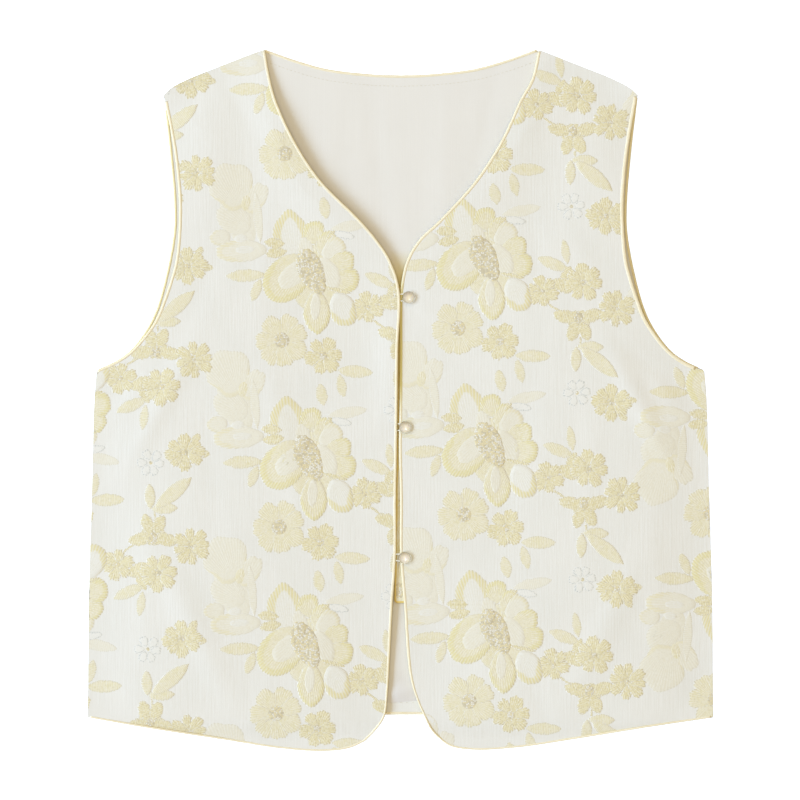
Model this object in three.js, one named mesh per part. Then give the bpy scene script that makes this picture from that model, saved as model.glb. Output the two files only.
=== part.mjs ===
// Sleeveless V-necked vest with a piped edge and three ball buttons, laid flat on its back.
// Millimetres. +X is the wearer's left, +Y the neck, +Z up off the surface it lies on.
// The origin is at the middle of the vest, on that surface.
import * as THREE from 'three';

// Driving sizes.
const seamGap = 0.3;        // clearance between pieces that are sewn together
const backCloth = 1.1;      // wall of the back
const liningCloth = 1.0;    // wall of the lining, the turned-up hem and the underlap
const frontCloth = 1.2;     // wall of each front
const pipingWide = 3.0;     // piping, seen from above
const pipingProud = 0.3;    // how far a front's piping stands above and below its cloth
const backPipingHigh = 2.3; // piping of the back, which takes in the lining too
const backPipingLow = 0.1;  // its underside
const seamTurn = 6;         // width over which a front turns down to meet the back at a seam
const liningInset = 8;      // how far the lining stops short of those seams
const hemTurn = 18;         // length over which a front's hem drops past the back's hem
const hemRest = 0.6;        // height of a front's underside where its hem lies on the surface
const liningHem = -233.3;   // where the back lining ends above the turned-up hem
const mostLift = 3.8;       // most clearance between a front and the lining
const buttonRadius = 4.65;
const buttonClear = 0.6;    // under a ball button, where its thread shank is
const loopThick = 1.0;
const loopRadius = 3.9;     // of the cord loop round a button's shank
const underlap = { inner: 26, top: 88, bottom: -156.6, edgeTop: -0.6, edgeBottom: -3.1, piping: 1.8 };

const liningUnder = backCloth + seamGap;
const liningTop = liningUnder + liningCloth;
const boundRise = 0.6;      // a front's clearance over the lining at its bound edges
const openRise = 2.0;       // and away from them
const liftEase = 45;        // length over which it rises from the one to the other
const swellEase = 30;       // length over which the swells die away towards a seam
const cornerEase = { from: 5, over: 8 }; // the turn down at a seam starts this far from a bound edge
const hemTurnAt = -244.5;   // height at which a front's hem starts to drop past the back's hem
const facingCloth = 0.8;    // wall of the turned-up hem
const sectionSides = 6;     // of piping and cord

// Outlines: finished edges, as distances from the centre line at each height.
const sideSeam = [
  { y: -244.9, out: 241.5 }, { y: -150, out: 240.6 }, { y: -77, out: 238.5 }, { y: 0, out: 236.4 },
];
const backArmhole = [
  { y: 23.4, out: 234.6 }, { y: 31.1, out: 218.6 }, { y: 38.8, out: 208.4 }, { y: 54.3, out: 196.6 },
  { y: 69.8, out: 188.9 }, { y: 100.7, out: 180.4 }, { y: 131.6, out: 175.2 }, { y: 154.8, out: 175.2 },
  { y: 193.5, out: 178.5 }, { y: 235.6, out: 183.4 },
];
const frontArmhole = [
  { y: 22.8, out: 234.2 }, { y: 30.5, out: 218.0 }, { y: 38.2, out: 207.4 }, { y: 46.6, out: 199.8 },
  { y: 62, out: 189 }, { y: 77.5, out: 182.6 }, { y: 92.9, out: 177.4 }, { y: 108.4, out: 173.4 },
  { y: 139.3, out: 170.9 }, { y: 162.5, out: 171.4 }, { y: 193.5, out: 174.9 }, { y: 235.2, out: 182.8 },
];
const shoulder = [
  { y: 271.4, out: 105.6 }, { y: 267, out: 116.3 }, { y: 258.4, out: 138 }, { y: 248.6, out: 162.5 },
  { y: 240.4, out: 178.4 }, { y: 235.6, out: 183.4 },
];
const backNeck = [
  { y: 271.4, out: 105.6 }, { y: 267.6, out: 95.4 }, { y: 261.7, out: 78 }, { y: 255.8, out: 56 },
  { y: 251.9, out: 22 }, { y: 251.1, out: 0 },
];
const backHem = [{ y: -244.9, out: 241.5 }, { y: -243.4, out: 120 }, { y: -242.9, out: 0 }];

// Inner edge of each front from the neck point down to the middle of its round corner, and then
// its hem out to the side seam. A minus sign is an edge past the centre line.
const frontEdge = [
  { y: 270.6, right: 104.6, left: 106.4 }, { y: 247.6, right: 100.4, left: 101.0 },
  { y: 232.1, right: 96.2, left: 92.4 }, { y: 201.2, right: 82.3, left: 78.1 },
  { y: 170.3, right: 62.2, left: 58.4 }, { y: 139.3, right: 31.5, left: 30.5 },
  { y: 123.9, right: 18.3, left: 14.3 }, { y: 108.4, right: 8.1, left: 5.0 },
  { y: 85.2, right: 0.7, left: -0.1 }, { y: 38.8, right: 1.8, left: -0.7 },
  { y: -7.5, right: 2.3, left: -0.9 }, { y: -38.5, right: 2.7, left: -1.2 },
  { y: -77.3, right: 3.3, left: -0.4 }, { y: -115.8, right: 3.3, left: -0.5 },
  { y: -139.3, right: 4.6, left: 1.0 }, { y: -154.4, right: 5.8, left: 2.4 },
  { y: -208.5, right: 8.7, left: 6.5 }, { y: -227, right: 9.9, left: 11.0 },
  { y: -244.2, right: 12.3, left: 18.2 }, { y: -255.2, right: 19.6, left: 23.8 },
  { y: -263.4, right: 27.5, left: 31.9 },
];
const frontHem = [
  { out: 39, right: -268.6, left: -267.6 }, { out: 58.4, right: -271.1, left: -270.2 },
  { out: 93, right: -269, left: -268 }, { out: 132, right: -263, left: -262.2 },
  { out: 194, right: -253.2, left: -252 }, { out: 241.5, right: -244.9, left: -244.9 },
];

// Where each front lifts off the lining: long soft swells, and the folds that run across them.
const lifts = [
  { at: 'neck edge', out: 58, y: 160, along: 66, across: 30, turn: 40, right: 2.0, left: 1.5 },
  { at: 'neck edge, upper', out: 92, y: 222, along: 34, across: 20, turn: 75, right: 1.3, left: 0.9 },
  { at: 'bust', out: 118, y: 52, along: 62, across: 58, turn: 0, right: 0.9, left: 1.0 },
  { at: 'below the waist', out: 128, y: -128, along: 70, across: 60, turn: 90, right: 0.9, left: 0.8 },
  { at: 'fold at the underarm', out: 186, y: -6, along: 52, across: 9, turn: 118, right: 0.7, left: 0.9 },
  { at: 'fold above the waist', out: 88, y: -40, along: 60, across: 11, turn: 78, right: 0.5, left: -0.5 },
  { at: 'fold to the hem', out: 158, y: -176, along: 56, across: 12, turn: 64, right: 0.8, left: 0.6 },
  { at: 'shoulder', out: 142, y: 196, along: 40, across: 22, turn: 80, right: 0.6, left: 0.8 },
  { at: 'opening edge', out: 4, y: 38, along: 52, across: 15, turn: 90, right: 1.3, left: -0.3 },
  { at: 'below the underlap', out: 20, y: -225, along: 60, across: 30, turn: 90, right: -1.0, left: -0.8 },
];

// Small helpers.
const ease = (t) => { const k = Math.min(Math.max(t, 0), 1); return k * k * (3 - 2 * k); };
const mix = (a, b, t) => a + (b - a) * t;
const sign = { right: -1, left: 1 };

// Smooth curve through a table's rows, on one side of the centre line.
function outline(rows, side) {
  const points = rows.map((row) => new THREE.Vector3(sign[side] * row.out, row.y, 0));
  return new THREE.CatmullRomCurve3(points, false, 'centripetal');
}

// A curve's points at the given shares of its length, moved in by a distance towards a point inside.
function inset(curve, shares, distance, inside) {
  return shares.map((share) => {
    const point = curve.getPointAt(share);
    const tangent = curve.getTangentAt(share);
    const normal = new THREE.Vector3(-tangent.y, tangent.x, 0).normalize();
    if (normal.dot(new THREE.Vector3().subVectors(inside, point)) < 0) normal.negate();
    return point.addScaledVector(normal, distance);
  });
}

const even = (count) => Array.from({ length: count + 1 }, (_, k) => k / count);

// Shares 0 to 1 whose steps grow or shrink smoothly: first and last are the end steps over an even one.
function graded(count, first, last) {
  return even(count).map((t) => t + (first - 1) * t * (1 - t) ** 2 - (last - 1) * t * t * (1 - t));
}

function distanceTo(line, x, y) {
  let best = Infinity;
  for (let k = 1; k < line.length; k += 1) {
    const [a, b] = [line[k - 1], line[k]];
    const [dx, dy] = [b.x - a.x, b.y - a.y];
    const t = Math.min(Math.max(((x - a.x) * dx + (y - a.y) * dy) / (dx * dx + dy * dy), 0), 1);
    best = Math.min(best, Math.hypot(x - a.x - t * dx, y - a.y - t * dy));
  }
  return best;
}

// Solids.
// Patch between four edges: grid[row][column], rows from the bottom edge to the top edge.
function patch(bottom, top, start, end, across, up) {
  const last = bottom.length - 1;
  return up.map((v, j) => across.map((u, i) => {
    const ruled = (key) => mix(start[j][key], end[j][key], u) + mix(bottom[i][key], top[i][key], v)
      - mix(mix(bottom[0][key], bottom[last][key], u), mix(top[0][key], top[last][key], u), v);
    return new THREE.Vector3(ruled('x'), ruled('y'), 0);
  }));
}

// Closed wall over a grid, from the height under(x, y) up through its thickness.
function wall(grid, under, thickness) {
  const [rows, columns] = [grid.length, grid[0].length];
  const flat = grid.flat();
  const low = flat.map((p) => [p.x, p.y, under(p.x, p.y)]);
  const high = low.map(([x, y, z]) => [x, y, z + thickness]);
  const id = (j, i) => j * columns + i;
  const faces = [];
  const quad = (a, b, c, d) => faces.push([a, b, c], [a, c, d]);
  const up = flat.length;
  for (let j = 0; j < rows - 1; j += 1) {
    for (let i = 0; i < columns - 1; i += 1) {
      const [a, b, c, d] = [id(j, i), id(j, i + 1), id(j + 1, i + 1), id(j + 1, i)];
      quad(a + up, b + up, c + up, d + up);
      faces.push([a, c, b], [a, d, c]);
    }
  }
  const rim = [];
  for (let i = 0; i < columns - 1; i += 1) rim.push(id(0, i));
  for (let j = 0; j < rows - 1; j += 1) rim.push(id(j, columns - 1));
  for (let i = columns - 1; i > 0; i -= 1) rim.push(id(rows - 1, i));
  for (let j = rows - 1; j > 0; j -= 1) rim.push(id(j, 0));
  rim.forEach((a, k) => { const b = rim[(k + 1) % rim.length]; quad(a, b, b + up, a + up); });
  const [p, q, r] = [flat[0], flat[1], flat[columns]];
  const mirrored = (q.x - p.x) * (r.y - p.y) - (q.y - p.y) * (r.x - p.x) < 0;
  return solid([...low, ...high], faces, mirrored);
}

// Closed band along a path: an oval section that stays upright, with flat ends.
function band(path, halfWide, halfHigh) {
  const sides = sectionSides;
  const points = [];
  const faces = [];
  path.forEach((centre, k) => {
    const before = path[Math.max(k - 1, 0)];
    const after = path[Math.min(k + 1, path.length - 1)];
    const across = new THREE.Vector3(after.y - before.y, before.x - after.x, 0).normalize();
    for (let s = 0; s < sides; s += 1) {
      const angle = (2 * Math.PI * s) / sides;
      const side = across.clone().multiplyScalar(halfWide * Math.cos(angle)).add(centre);
      points.push([side.x, side.y, side.z + halfHigh * Math.sin(angle)]);
    }
    if (k === 0) return;
    for (let s = 0; s < sides; s += 1) {
      const t = (s + 1) % sides;
      const [a, b] = [(k - 1) * sides, k * sides];
      faces.push([a + s, a + t, b + t], [a + s, b + t, b + s]);
    }
  });
  const end = (path.length - 1) * sides;
  for (let s = 1; s < sides - 1; s += 1) faces.push([0, s + 1, s], [end, end + s, end + s + 1]);
  return solid(points, faces, true);
}

function solid(points, faces, turned) {
  const geometry = new THREE.BufferGeometry();
  geometry.setAttribute('position', new THREE.Float32BufferAttribute(points.flat(), 3));
  geometry.setIndex(faces.flatMap(([a, b, c]) => (turned ? [a, c, b] : [a, b, c])));
  geometry.computeVertexNormals();
  return geometry;
}

// Edges of the panels.
const neckSteps = 6;                      // steps in half the back neck
const inBack = new THREE.Vector3(0, 20, 0);
const inFront = { right: new THREE.Vector3(-112, 30, 0), left: new THREE.Vector3(112, 30, 0) };
const clothEdge = pipingWide + seamGap;   // how far a bound panel's cloth stops short of its edge
const shoulderTrim = { neck: 0.035, tip: 0.93 }; // shares of the shoulder line that a front's cloth reaches
const underarm = 0.52;                    // share of a panel's height at the underarm
const frontSteps = { side: graded(14, 0.35, 1), arm: graded(18, 0.7, 0.4), across: graded(13, 0.4, 0.35) };
const backSteps = { side: graded(8, 1, 0.8), arm: graded(14, 0.7, 0.5) };
const upShares = ({ side, arm }) => [
  ...side.map((t) => t * underarm), ...arm.slice(1).map((t) => mix(underarm, 1, t)),
];

// Outer edge of a panel, from the hem up its side and round its armhole.
function outerEdge(side, armhole, steps, edge, seam) {
  const round = inset(outline(armhole, side), steps.arm, edge, inFront[side]);
  const rows = sideSeam.map((row) => ({ y: row.y, out: row.out - seam }));
  const straight = outline([...rows, { y: round[0].y, out: Math.abs(round[0].x) }], side);
  return [...steps.side.map((t) => straight.getPointAt(t)), ...round.slice(1)];
}

function frontLines(side) {
  const edge = [...frontEdge].reverse().map((row) => ({ y: row.y, out: row[side] }));
  const hem = frontHem.map((row) => ({ y: row[side], out: row.out }));
  return {
    inner: outline(edge, side), hem: outline([edge[0], ...hem], side), shoulder: outline(shoulder, side),
  };
}

const lines = { right: frontLines('right'), left: frontLines('left') };
const sampled = (curve) => curve.getSpacedPoints(60);
const bounds = Object.fromEntries(['right', 'left'].map((side) => [side, {
  seams: [sampled(outline([...sideSeam, backArmhole[0]], side)), sampled(lines[side].shoulder)],
  bound: [sampled(outline(frontArmhole, side)), sampled(lines[side].inner), sampled(lines[side].hem)],
}]));
const nearest = (list, x, y) => Math.min(...list.map((line) => distanceTo(line, x, y)));

// Height of a front's underside: down on the back at its seams, close to the lining at its
// armhole, lifted in soft swells between, and down on the surface along its hem.
function frontUnder(side) {
  const { seams, bound } = bounds[side];
  return (x, y) => {
    const toSeam = nearest(seams, x, y);
    const toArmhole = distanceTo(bound[0], x, y);
    let rise = mix(boundRise, openRise, ease(Math.min(toSeam, toArmhole) / liftEase));
    for (const lift of lifts) {
      const [dx, dy] = [sign[side] * x - lift.out, y - lift.y];
      const turn = (lift.turn * Math.PI) / 180;
      const along = (dx * Math.cos(turn) + dy * Math.sin(turn)) / lift.along;
      const across = (dy * Math.cos(turn) - dx * Math.sin(turn)) / lift.across;
      rise += lift[side] * Math.exp(-(along * along + across * across)) * ease(toSeam / swellEase);
    }
    const open = liningTop + Math.min(Math.max(rise, boundRise), mostLift);
    const clear = ease((nearest(bound, x, y) - cornerEase.from) / cornerEase.over);
    const turned = (1 - ease(toSeam / seamTurn)) * clear;
    const dropped = ease((hemTurnAt - y) / hemTurn);
    return mix(mix(open, liningUnder, turned), hemRest, dropped);
  };
}
const under = { right: frontUnder('right'), left: frontUnder('left') };

// Panels.
function frontPanel(side) {
  const { across } = frontSteps;
  const up = upShares(frontSteps);
  const { inner, hem, shoulder: top } = lines[side];
  const end = outerEdge(side, frontArmhole, frontSteps, clothEdge, 0);
  const start = inset(inner, up, clothEdge, inFront[side]);
  const bottom = inset(hem, across, clothEdge, inFront[side]);
  const ridge = across.map((u) => top.getPointAt(mix(shoulderTrim.neck, shoulderTrim.tip, u)));
  const last = across.length - 1;
  bottom[0] = start[0].lerp(bottom[0], 0.5);
  end[0].y = bottom[last].y;
  bottom[last] = end[0];
  [ridge[0], ridge[last]] = [start.at(-1), end.at(-1)];
  return wall(patch(bottom, ridge, start, end, across, up), under[side], frontCloth);
}

// Grid of the back, or of what lies on it, kept in from its bound edges and from its seams.
function backGrid(edge, seam, hemAt) {
  const neckShare = 0.22;
  const half = [
    ...even(3).map((t) => t * neckShare), ...even(neckSteps).slice(1).map((t) => mix(neckShare, 0.5, t)),
  ];
  const across = [...half, ...half.slice(0, -1).reverse().map((t) => 1 - t)];
  const [start, end] = ['right', 'left'].map((side) => outerEdge(side, backArmhole, backSteps, edge, seam));
  const topHalf = (side) => {
    const seamPart = inset(outline([...shoulder].reverse(), side), even(3), seam, inBack);
    const neckPart = inset(outline(backNeck, side), even(neckSteps), edge, inBack);
    seamPart[0] = (side === 'right' ? start : end).at(-1);
    seamPart[3] = neckPart[0];
    return [...seamPart, ...neckPart.slice(1)];
  };
  const top = [...topHalf('right'), ...topHalf('left').reverse().slice(1)];
  const width = Math.abs(start[0].x);
  const bottom = across.map((u) => {
    const x = mix(-width, width, u);
    return new THREE.Vector3(x, hemAt ?? backHemAt(x) + edge, 0);
  });
  [start[0], end[0]] = [bottom[0], bottom.at(-1)];
  return patch(bottom, top, start, end, across, upShares(backSteps));
}

function backHemAt(x) {
  const [corner, middle] = [backHem[0], backHem.at(-1)];
  return mix(middle.y, corner.y, (x / corner.out) ** 2);
}

function hemFacing() {
  const [low, high] = [(x) => backHemAt(x) + clothEdge, () => liningHem - seamGap];
  const across = even(12).map((t) => mix(-sideSeam[0].out + seamTurn, sideSeam[0].out - seamTurn, t));
  const grid = [low, high].map((edge) => across.map((x) => new THREE.Vector3(x, edge(x), 0)));
  return wall(grid, () => liningUnder, facingCloth);
}

// The underlap's bound edge leans a little.
function underlapEdge(y) {
  const share = (y - underlap.bottom) / (underlap.top - underlap.bottom);
  return mix(underlap.edgeBottom, underlap.edgeTop, share);
}

function placket() {
  const foot = underlap.bottom + underlap.piping + seamGap;
  const heights = even(8).map((t) => mix(foot, underlap.top, t));
  const grid = heights.map((y) => {
    const edge = underlapEdge(y) + underlap.piping + seamGap;
    return even(2).map((t) => new THREE.Vector3(mix(edge, underlap.inner, t), y, 0));
  });
  return wall(grid, () => liningTop + seamGap, liningCloth);
}

function placketPiping() {
  const half = underlap.piping / 2;
  const footShares = [0.06, 0.5, 1];
  const z = liningTop + seamGap + liningCloth / 2;
  const down = even(8).map((t) => mix(underlap.top, underlap.bottom + underlap.piping, t))
    .map((y) => new THREE.Vector3(underlapEdge(y) + half, y, z));
  const foot = footShares.map((t) => new THREE.Vector3(
    mix(underlap.edgeBottom + half, underlap.inner, t), underlap.bottom + half, z));
  return band([...down, ...foot], half, liningCloth / 2);
}

// Piping.
const half = pipingWide / 2;

// Stations with both ends drawn in, so that the piping stops short of the next piece: the share of
// its length that is left off at each end.
const trimmed = (stations, { start, end }) => [start, ...stations.slice(1, -1), 1 - end];
const trims = {
  opening: { start: 0, end: 0.006 }, frontHem: { start: 0, end: 0.008 },
  back: { start: 0.004, end: 0.004 }, backArmhole: { start: 0.01, end: 0.006 },
  frontArmhole: { start: 0.015, end: 0.004 },
};
const backHemSteps = 16;

function backPiping(curve, stations) {
  const z = (backPipingLow + backPipingHigh) / 2;
  const path = inset(curve, stations, half, inBack);
  return band(path.map((p) => p.setZ(z)), half, (backPipingHigh - backPipingLow) / 2);
}

function wholeWidth(rows) {
  const [right, left] = ['right', 'left'].map((side) => outline(rows, side).points);
  return new THREE.CatmullRomCurve3([...right, ...left.slice(0, -1).reverse()], false, 'centripetal');
}

// Piping on a front rides at the height of the cloth's own edge beside it.
function edgePath(side, curve, stations) {
  const cloth = inset(curve, stations, clothEdge, inFront[side]);
  const centre = inset(curve, stations, half, inFront[side]);
  return centre.map((p, n) => p.setZ(under[side](cloth[n].x, cloth[n].y) + frontCloth / 2));
}
const frontBand = (path) => band(path, half, frontCloth / 2 + pipingProud);

function openingPiping(side) {
  const { inner, hem } = lines[side];
  const down = edgePath(side, inner, trimmed(upShares(frontSteps), trims.opening)).reverse();
  const out = edgePath(side, hem, trimmed(frontSteps.across, trims.frontHem));
  return frontBand([...down, ...out.slice(1)]);
}

// Buttons and loops.
const buttons = [{ x: 6.3, y: 79.3 }, { x: 3.6, y: -20.7 }, { x: 3.3, y: -121.2 }];
const ballSides = { round: 14, up: 9 };
// Cord loop: how far its ends reach in from the opening's edge, and half its width there and at the
// edge; then the angle, off the line across, at which its ring begins, and the ring's points.
const loopEnds = { reach: 2.4, half: 1.5, halfAtEdge: 2.1, angle: 2.3, ringPoints: 9, steps: 20 };
const frontTop = (side, x, y) => under[side](x, y) + frontCloth;

function button({ x, y }) {
  const ball = new THREE.SphereGeometry(buttonRadius, ballSides.round, ballSides.up);
  ball.rotateX(Math.PI / 2);
  return ball.translate(x, y, frontTop('left', x + 1, y) + buttonClear + buttonRadius);
}

function loop({ x, y }) {
  const { reach, half: atEnd, halfAtEdge, angle, ringPoints, steps } = loopEnds;
  const edge = -frontEdge.find((row) => row.y <= y).right;
  const over = (cloth) => cloth + pipingProud + seamGap + loopThick / 2;
  const low = over(frontTop('left', x, y));
  const high = Math.max(low, over(frontTop('right', edge - pipingWide, y)));
  const ring = even(ringPoints - 1).map((t) => mix(angle, -angle, t))
    .map((a) => [x + loopRadius * Math.cos(a), loopRadius * Math.sin(a), low]);
  const path = [
    [edge - reach, atEnd, high], [edge, halfAtEdge, high], ...ring,
    [edge, -halfAtEdge, high], [edge - reach, -atEnd, high],
  ].map(([px, py, z]) => new THREE.Vector3(px, y + py, z));
  const curve = new THREE.CatmullRomCurve3(path, false, 'centripetal');
  return band(curve.getSpacedPoints(steps), loopThick / 2, loopThick / 2);
}

// Scene graph.
const ivory = { color: 0xe9e8e0, roughness: 0.75, metalness: 0 };
const satin = { color: 0xf2e2ac, roughness: 0.45, metalness: 0 };
const plain = { color: 0xe6e4dd, roughness: 0.6, metalness: 0 };
const pearl = { color: 0xf1ece2, roughness: 0.22, metalness: 0 };

const vest = new THREE.Group();
function add(name, geometry, finish) {
  const mesh = new THREE.Mesh(geometry, new THREE.MeshStandardMaterial(finish));
  mesh.name = name;
  vest.add(mesh);
}

const liningGrid = backGrid(clothEdge, liningInset, liningHem);
add('back', wall(backGrid(clothEdge, 0), () => 0, backCloth), ivory);
add('back_lining', wall(liningGrid, () => liningUnder, liningCloth), plain);
add('back_hem_facing', hemFacing(), ivory);
add('placket', placket(), ivory);
add('placket_piping', placketPiping(), satin);
const neckStations = trimmed(even(2 * neckSteps), trims.back);
add('piping_back_neck', backPiping(wholeWidth(backNeck), neckStations), satin);
add('piping_back_hem', backPiping(wholeWidth(backHem), trimmed(even(backHemSteps), trims.back)), satin);
for (const side of ['right', 'left']) {
  const behind = backPiping(outline(backArmhole, side), trimmed(backSteps.arm, trims.backArmhole));
  const edge = edgePath(side, outline(frontArmhole, side), trimmed(frontSteps.arm, trims.frontArmhole));
  add(`front_${side}`, frontPanel(side), ivory);
  add(`piping_front_${side}`, openingPiping(side), satin);
  add(`piping_armhole_${side}_back`, behind, satin);
  add(`piping_armhole_${side}_front`, frontBand(edge), satin);
}
buttons.forEach((place, k) => {
  add(`button_${k + 1}`, button(place), pearl);
  add(`loop_${k + 1}`, loop(place), satin);
});

export default vest;
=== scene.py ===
import math
from functools import partial

import bmesh
import bpy
import numpy as np
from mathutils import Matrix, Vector


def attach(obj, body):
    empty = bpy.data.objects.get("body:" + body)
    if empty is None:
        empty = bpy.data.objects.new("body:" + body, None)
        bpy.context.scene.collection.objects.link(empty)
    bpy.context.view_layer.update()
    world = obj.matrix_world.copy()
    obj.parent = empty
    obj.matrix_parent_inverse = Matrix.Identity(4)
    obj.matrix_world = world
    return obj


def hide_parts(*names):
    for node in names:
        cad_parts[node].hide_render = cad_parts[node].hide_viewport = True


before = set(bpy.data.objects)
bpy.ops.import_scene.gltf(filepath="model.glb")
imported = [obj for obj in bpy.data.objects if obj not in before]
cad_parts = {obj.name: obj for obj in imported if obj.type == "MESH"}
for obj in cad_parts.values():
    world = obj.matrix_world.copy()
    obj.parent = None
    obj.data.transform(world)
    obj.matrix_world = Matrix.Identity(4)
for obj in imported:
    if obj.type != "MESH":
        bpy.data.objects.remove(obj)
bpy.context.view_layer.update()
mm = 0.001
sideSign = {"right": -1, "left": 1}  # the wearer's right lies at -X


# camera, floor and light
studio = {
    "height": 2.4,  # of the camera, m
    "frameWidth": 0.6185,  # what the picture takes in across, m
    "sensor": 36,  # mm
    "centre": (-0.0004, 0.0002),
    "floorSize": 6.0,
    "world": ((1.0, 0.81, 0.50), 0.50),  # colour and strength of the warm light from all round
    "lights": {
        # where it comes from: degrees round from +X and up, m away; m across and up; colour; watts
        "window": ((181, 23, 30.0), (34, 10), (0.54, 0.73, 1.02), 15400),
        "ceiling": ((100, 80, 3.0), (2.6, 2.6), (1.0, 0.93, 0.82), 26),
        "pearls": ((288, 54, 1.2), (0.30, 0.30), (0.88, 0.97, 1.0), 9.4),  # falls on the buttons alone
    },
}


def addLight(name, place, size, colour, power):
    azimuth, up, away = math.radians(place[0]), math.radians(place[1]), place[2]
    data = bpy.data.lights.new(name, "AREA")
    data.shape = "RECTANGLE"
    data.size, data.size_y = size
    data.color = colour
    data.energy = power
    lamp = bpy.data.objects.new(name, data)
    level = math.cos(up)
    lamp.location = Vector((math.cos(azimuth) * level, math.sin(azimuth) * level, math.sin(up)))
    lamp.location *= away
    lamp.rotation_euler = lamp.location.to_track_quat("Z", "Y").to_euler()
    bpy.context.collection.objects.link(lamp)
    return lamp


def linkLight(lamp, kind, pieces, state):
    # kind is receiver_collection or blocker_collection: the lamp takes only the pieces, or passes them by
    group = bpy.data.collections.new(f"{lamp.name}_{kind}")
    for piece in pieces:
        group.objects.link(piece)
    for link in group.collection_objects:
        link.light_linking.link_state = state
    setattr(lamp.light_linking, kind, group)


def setStudio():
    data = bpy.data.cameras.new("camera")
    data.sensor_width = studio["sensor"]
    data.lens = studio["sensor"] * studio["height"] / studio["frameWidth"]
    camera = bpy.data.objects.new("camera", data)
    camera.location = (*studio["centre"], studio["height"])
    bpy.context.collection.objects.link(camera)
    bpy.context.scene.camera = camera
    bpy.context.scene.view_settings.view_transform = "Standard"
    world = bpy.data.worlds.new("studio")
    world.use_nodes = True
    background = world.node_tree.nodes["Background"]
    background.inputs["Color"].default_value = (*studio["world"][0], 1)
    background.inputs["Strength"].default_value = studio["world"][1]
    bpy.context.scene.world = world
    return {name: addLight(name, *row) for name, row in studio["lights"].items()}


# materials
def addNode(tree, kind, inputs=None, **settings):
    node = tree.nodes.new("ShaderNode" + kind)
    for key, value in settings.items():
        setattr(node, key, value)
    for key, value in (inputs or {}).items():
        if isinstance(value, bpy.types.NodeSocket):
            tree.links.new(value, node.inputs[key])
        else:
            node.inputs[key].default_value = value
    return node


def startMaterial(name, shine):
    material = bpy.data.materials.new(name)
    material.use_nodes = True
    tree = material.node_tree
    shader = tree.nodes["Principled BSDF"]
    for key, value in shine.items():
        shader.inputs[key].default_value = value
    return material, tree, shader


def endMaterial(tree, shader, colour, height, strength, distance=0.0002):
    # colour and bump; distance is the bump's full height in m
    tree.links.new(colour, shader.inputs["Base Color"])
    bump = addNode(tree, "Bump", {"Height": height, "Strength": strength, "Distance": distance})
    tree.links.new(bump.outputs["Normal"], shader.inputs["Normal"])


def placeOn(tree):
    return addNode(tree, "TexCoord").outputs["Object"]


def split(tree, vector):
    return addNode(tree, "SeparateXYZ", {"Vector": vector}).outputs


def join(tree, **parts):
    return addNode(tree, "CombineXYZ", parts).outputs["Vector"]


def maths(tree, operation, *values):
    return addNode(tree, "Math", dict(enumerate(values)), operation=operation).outputs[0]


def blendColours(tree, share, first, second):
    # share is a socket from 0 to 1; the colours are triples or sockets
    node = tree.nodes.new("ShaderNodeMix")
    node.data_type = "RGBA"
    tree.links.new(share, node.inputs["Factor"])
    for socket, colour in ((node.inputs[6], first), (node.inputs[7], second)):
        if isinstance(colour, bpy.types.NodeSocket):
            tree.links.new(colour, socket)
        else:
            socket.default_value = (*colour, 1)
    return node.outputs[2]


def ribs(tree, place, direction, pitch, wobble=0.0):
    # bands of one pitch, in metres, across X or Y
    return addNode(tree, "TexWave", {
        "Vector": place, "Scale": 0.314 / pitch, "Distortion": wobble, "Detail": 1.0, "Detail Scale": 2.0,
    }, wave_type="BANDS", bands_direction=direction).outputs["Fac"]


def spread(tree, value, low, high, start=0.0, end=1.0):
    # stretches the values from low to high to those from start to end
    return addNode(tree, "MapRange", {
        "Value": value, "From Min": low, "From Max": high, "To Min": start, "To Max": end}).outputs["Result"]


def plainNoise(tree, place, scale, detail=2.0):
    return addNode(tree, "TexNoise", {"Vector": place, "Scale": scale, "Detail": detail}).outputs["Fac"]


def stretchedNoise(tree, place, size, detail=2.0):
    # noise whose grains are size = (x, y) metres
    scale = (1 / size[0], 1 / size[1], 1)
    scaled = addNode(tree, "Mapping", {"Vector": place, "Scale": scale}).outputs["Vector"]
    return plainNoise(tree, scaled, 1.0, detail)


# cloth seen from above: slubs along Y, a soft mottle, warp and weft; sizes in m
weaveLook = {
    "rough": 0.66, "gloss": 0.25, "sheen": 0.12, "sheenRough": 0.45, "bump": 0.25, "wobble": 0.6,
    "slub": (0.0013, 0.03), "slubBand": (0.36, 0.66), "slubShare": 0.5,
    "mottle": (0.03, 0.045), "mottleBand": (0.38, 0.7), "mottleShare": 0.7,
    "warp": 0.00055, "weft": 0.0005,
}


def wovenMaterial(name, own):
    look = {**weaveLook, **own}
    material, tree, shader = startMaterial(name, {
        "Roughness": look["rough"], "Specular IOR Level": look["gloss"],
        "Sheen Weight": look["sheen"], "Sheen Roughness": look["sheenRough"]})
    place = placeOn(tree)
    slubs = spread(tree, stretchedNoise(tree, place, look["slub"]), *look["slubBand"])
    faint = maths(tree, "MULTIPLY", slubs, look["slubShare"])
    colour = blendColours(tree, faint, look["colour"], look["shade"])
    mottle = spread(tree, stretchedNoise(tree, place, look["mottle"], 3.0), *look["mottleBand"])
    colour = blendColours(tree, maths(tree, "MULTIPLY", mottle, look["mottleShare"]), colour, look["shade"])
    warp = ribs(tree, place, "X", look["warp"], look["wobble"])
    weft = ribs(tree, place, "Y", look["weft"], look["wobble"])
    height = maths(tree, "ADD", slubs, maths(tree, "MULTIPLY", warp, weft))
    # painted shade: each entry blends the colour towards its own colour inside a box in X and Y
    for paintedShade in look.get("paintedShades", ()):
        part = split(tree, place)
        share = spread(tree, maths(tree, "ABSOLUTE", part["X"]), *paintedShade["across"])
        for limits in (paintedShade["top"], paintedShade["foot"]):
            share = maths(tree, "MULTIPLY", share, spread(tree, part["Y"], *limits))
        colour = blendColours(tree, share, colour, paintedShade["colour"])
    endMaterial(tree, shader, colour, height, look["bump"])
    return material


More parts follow.
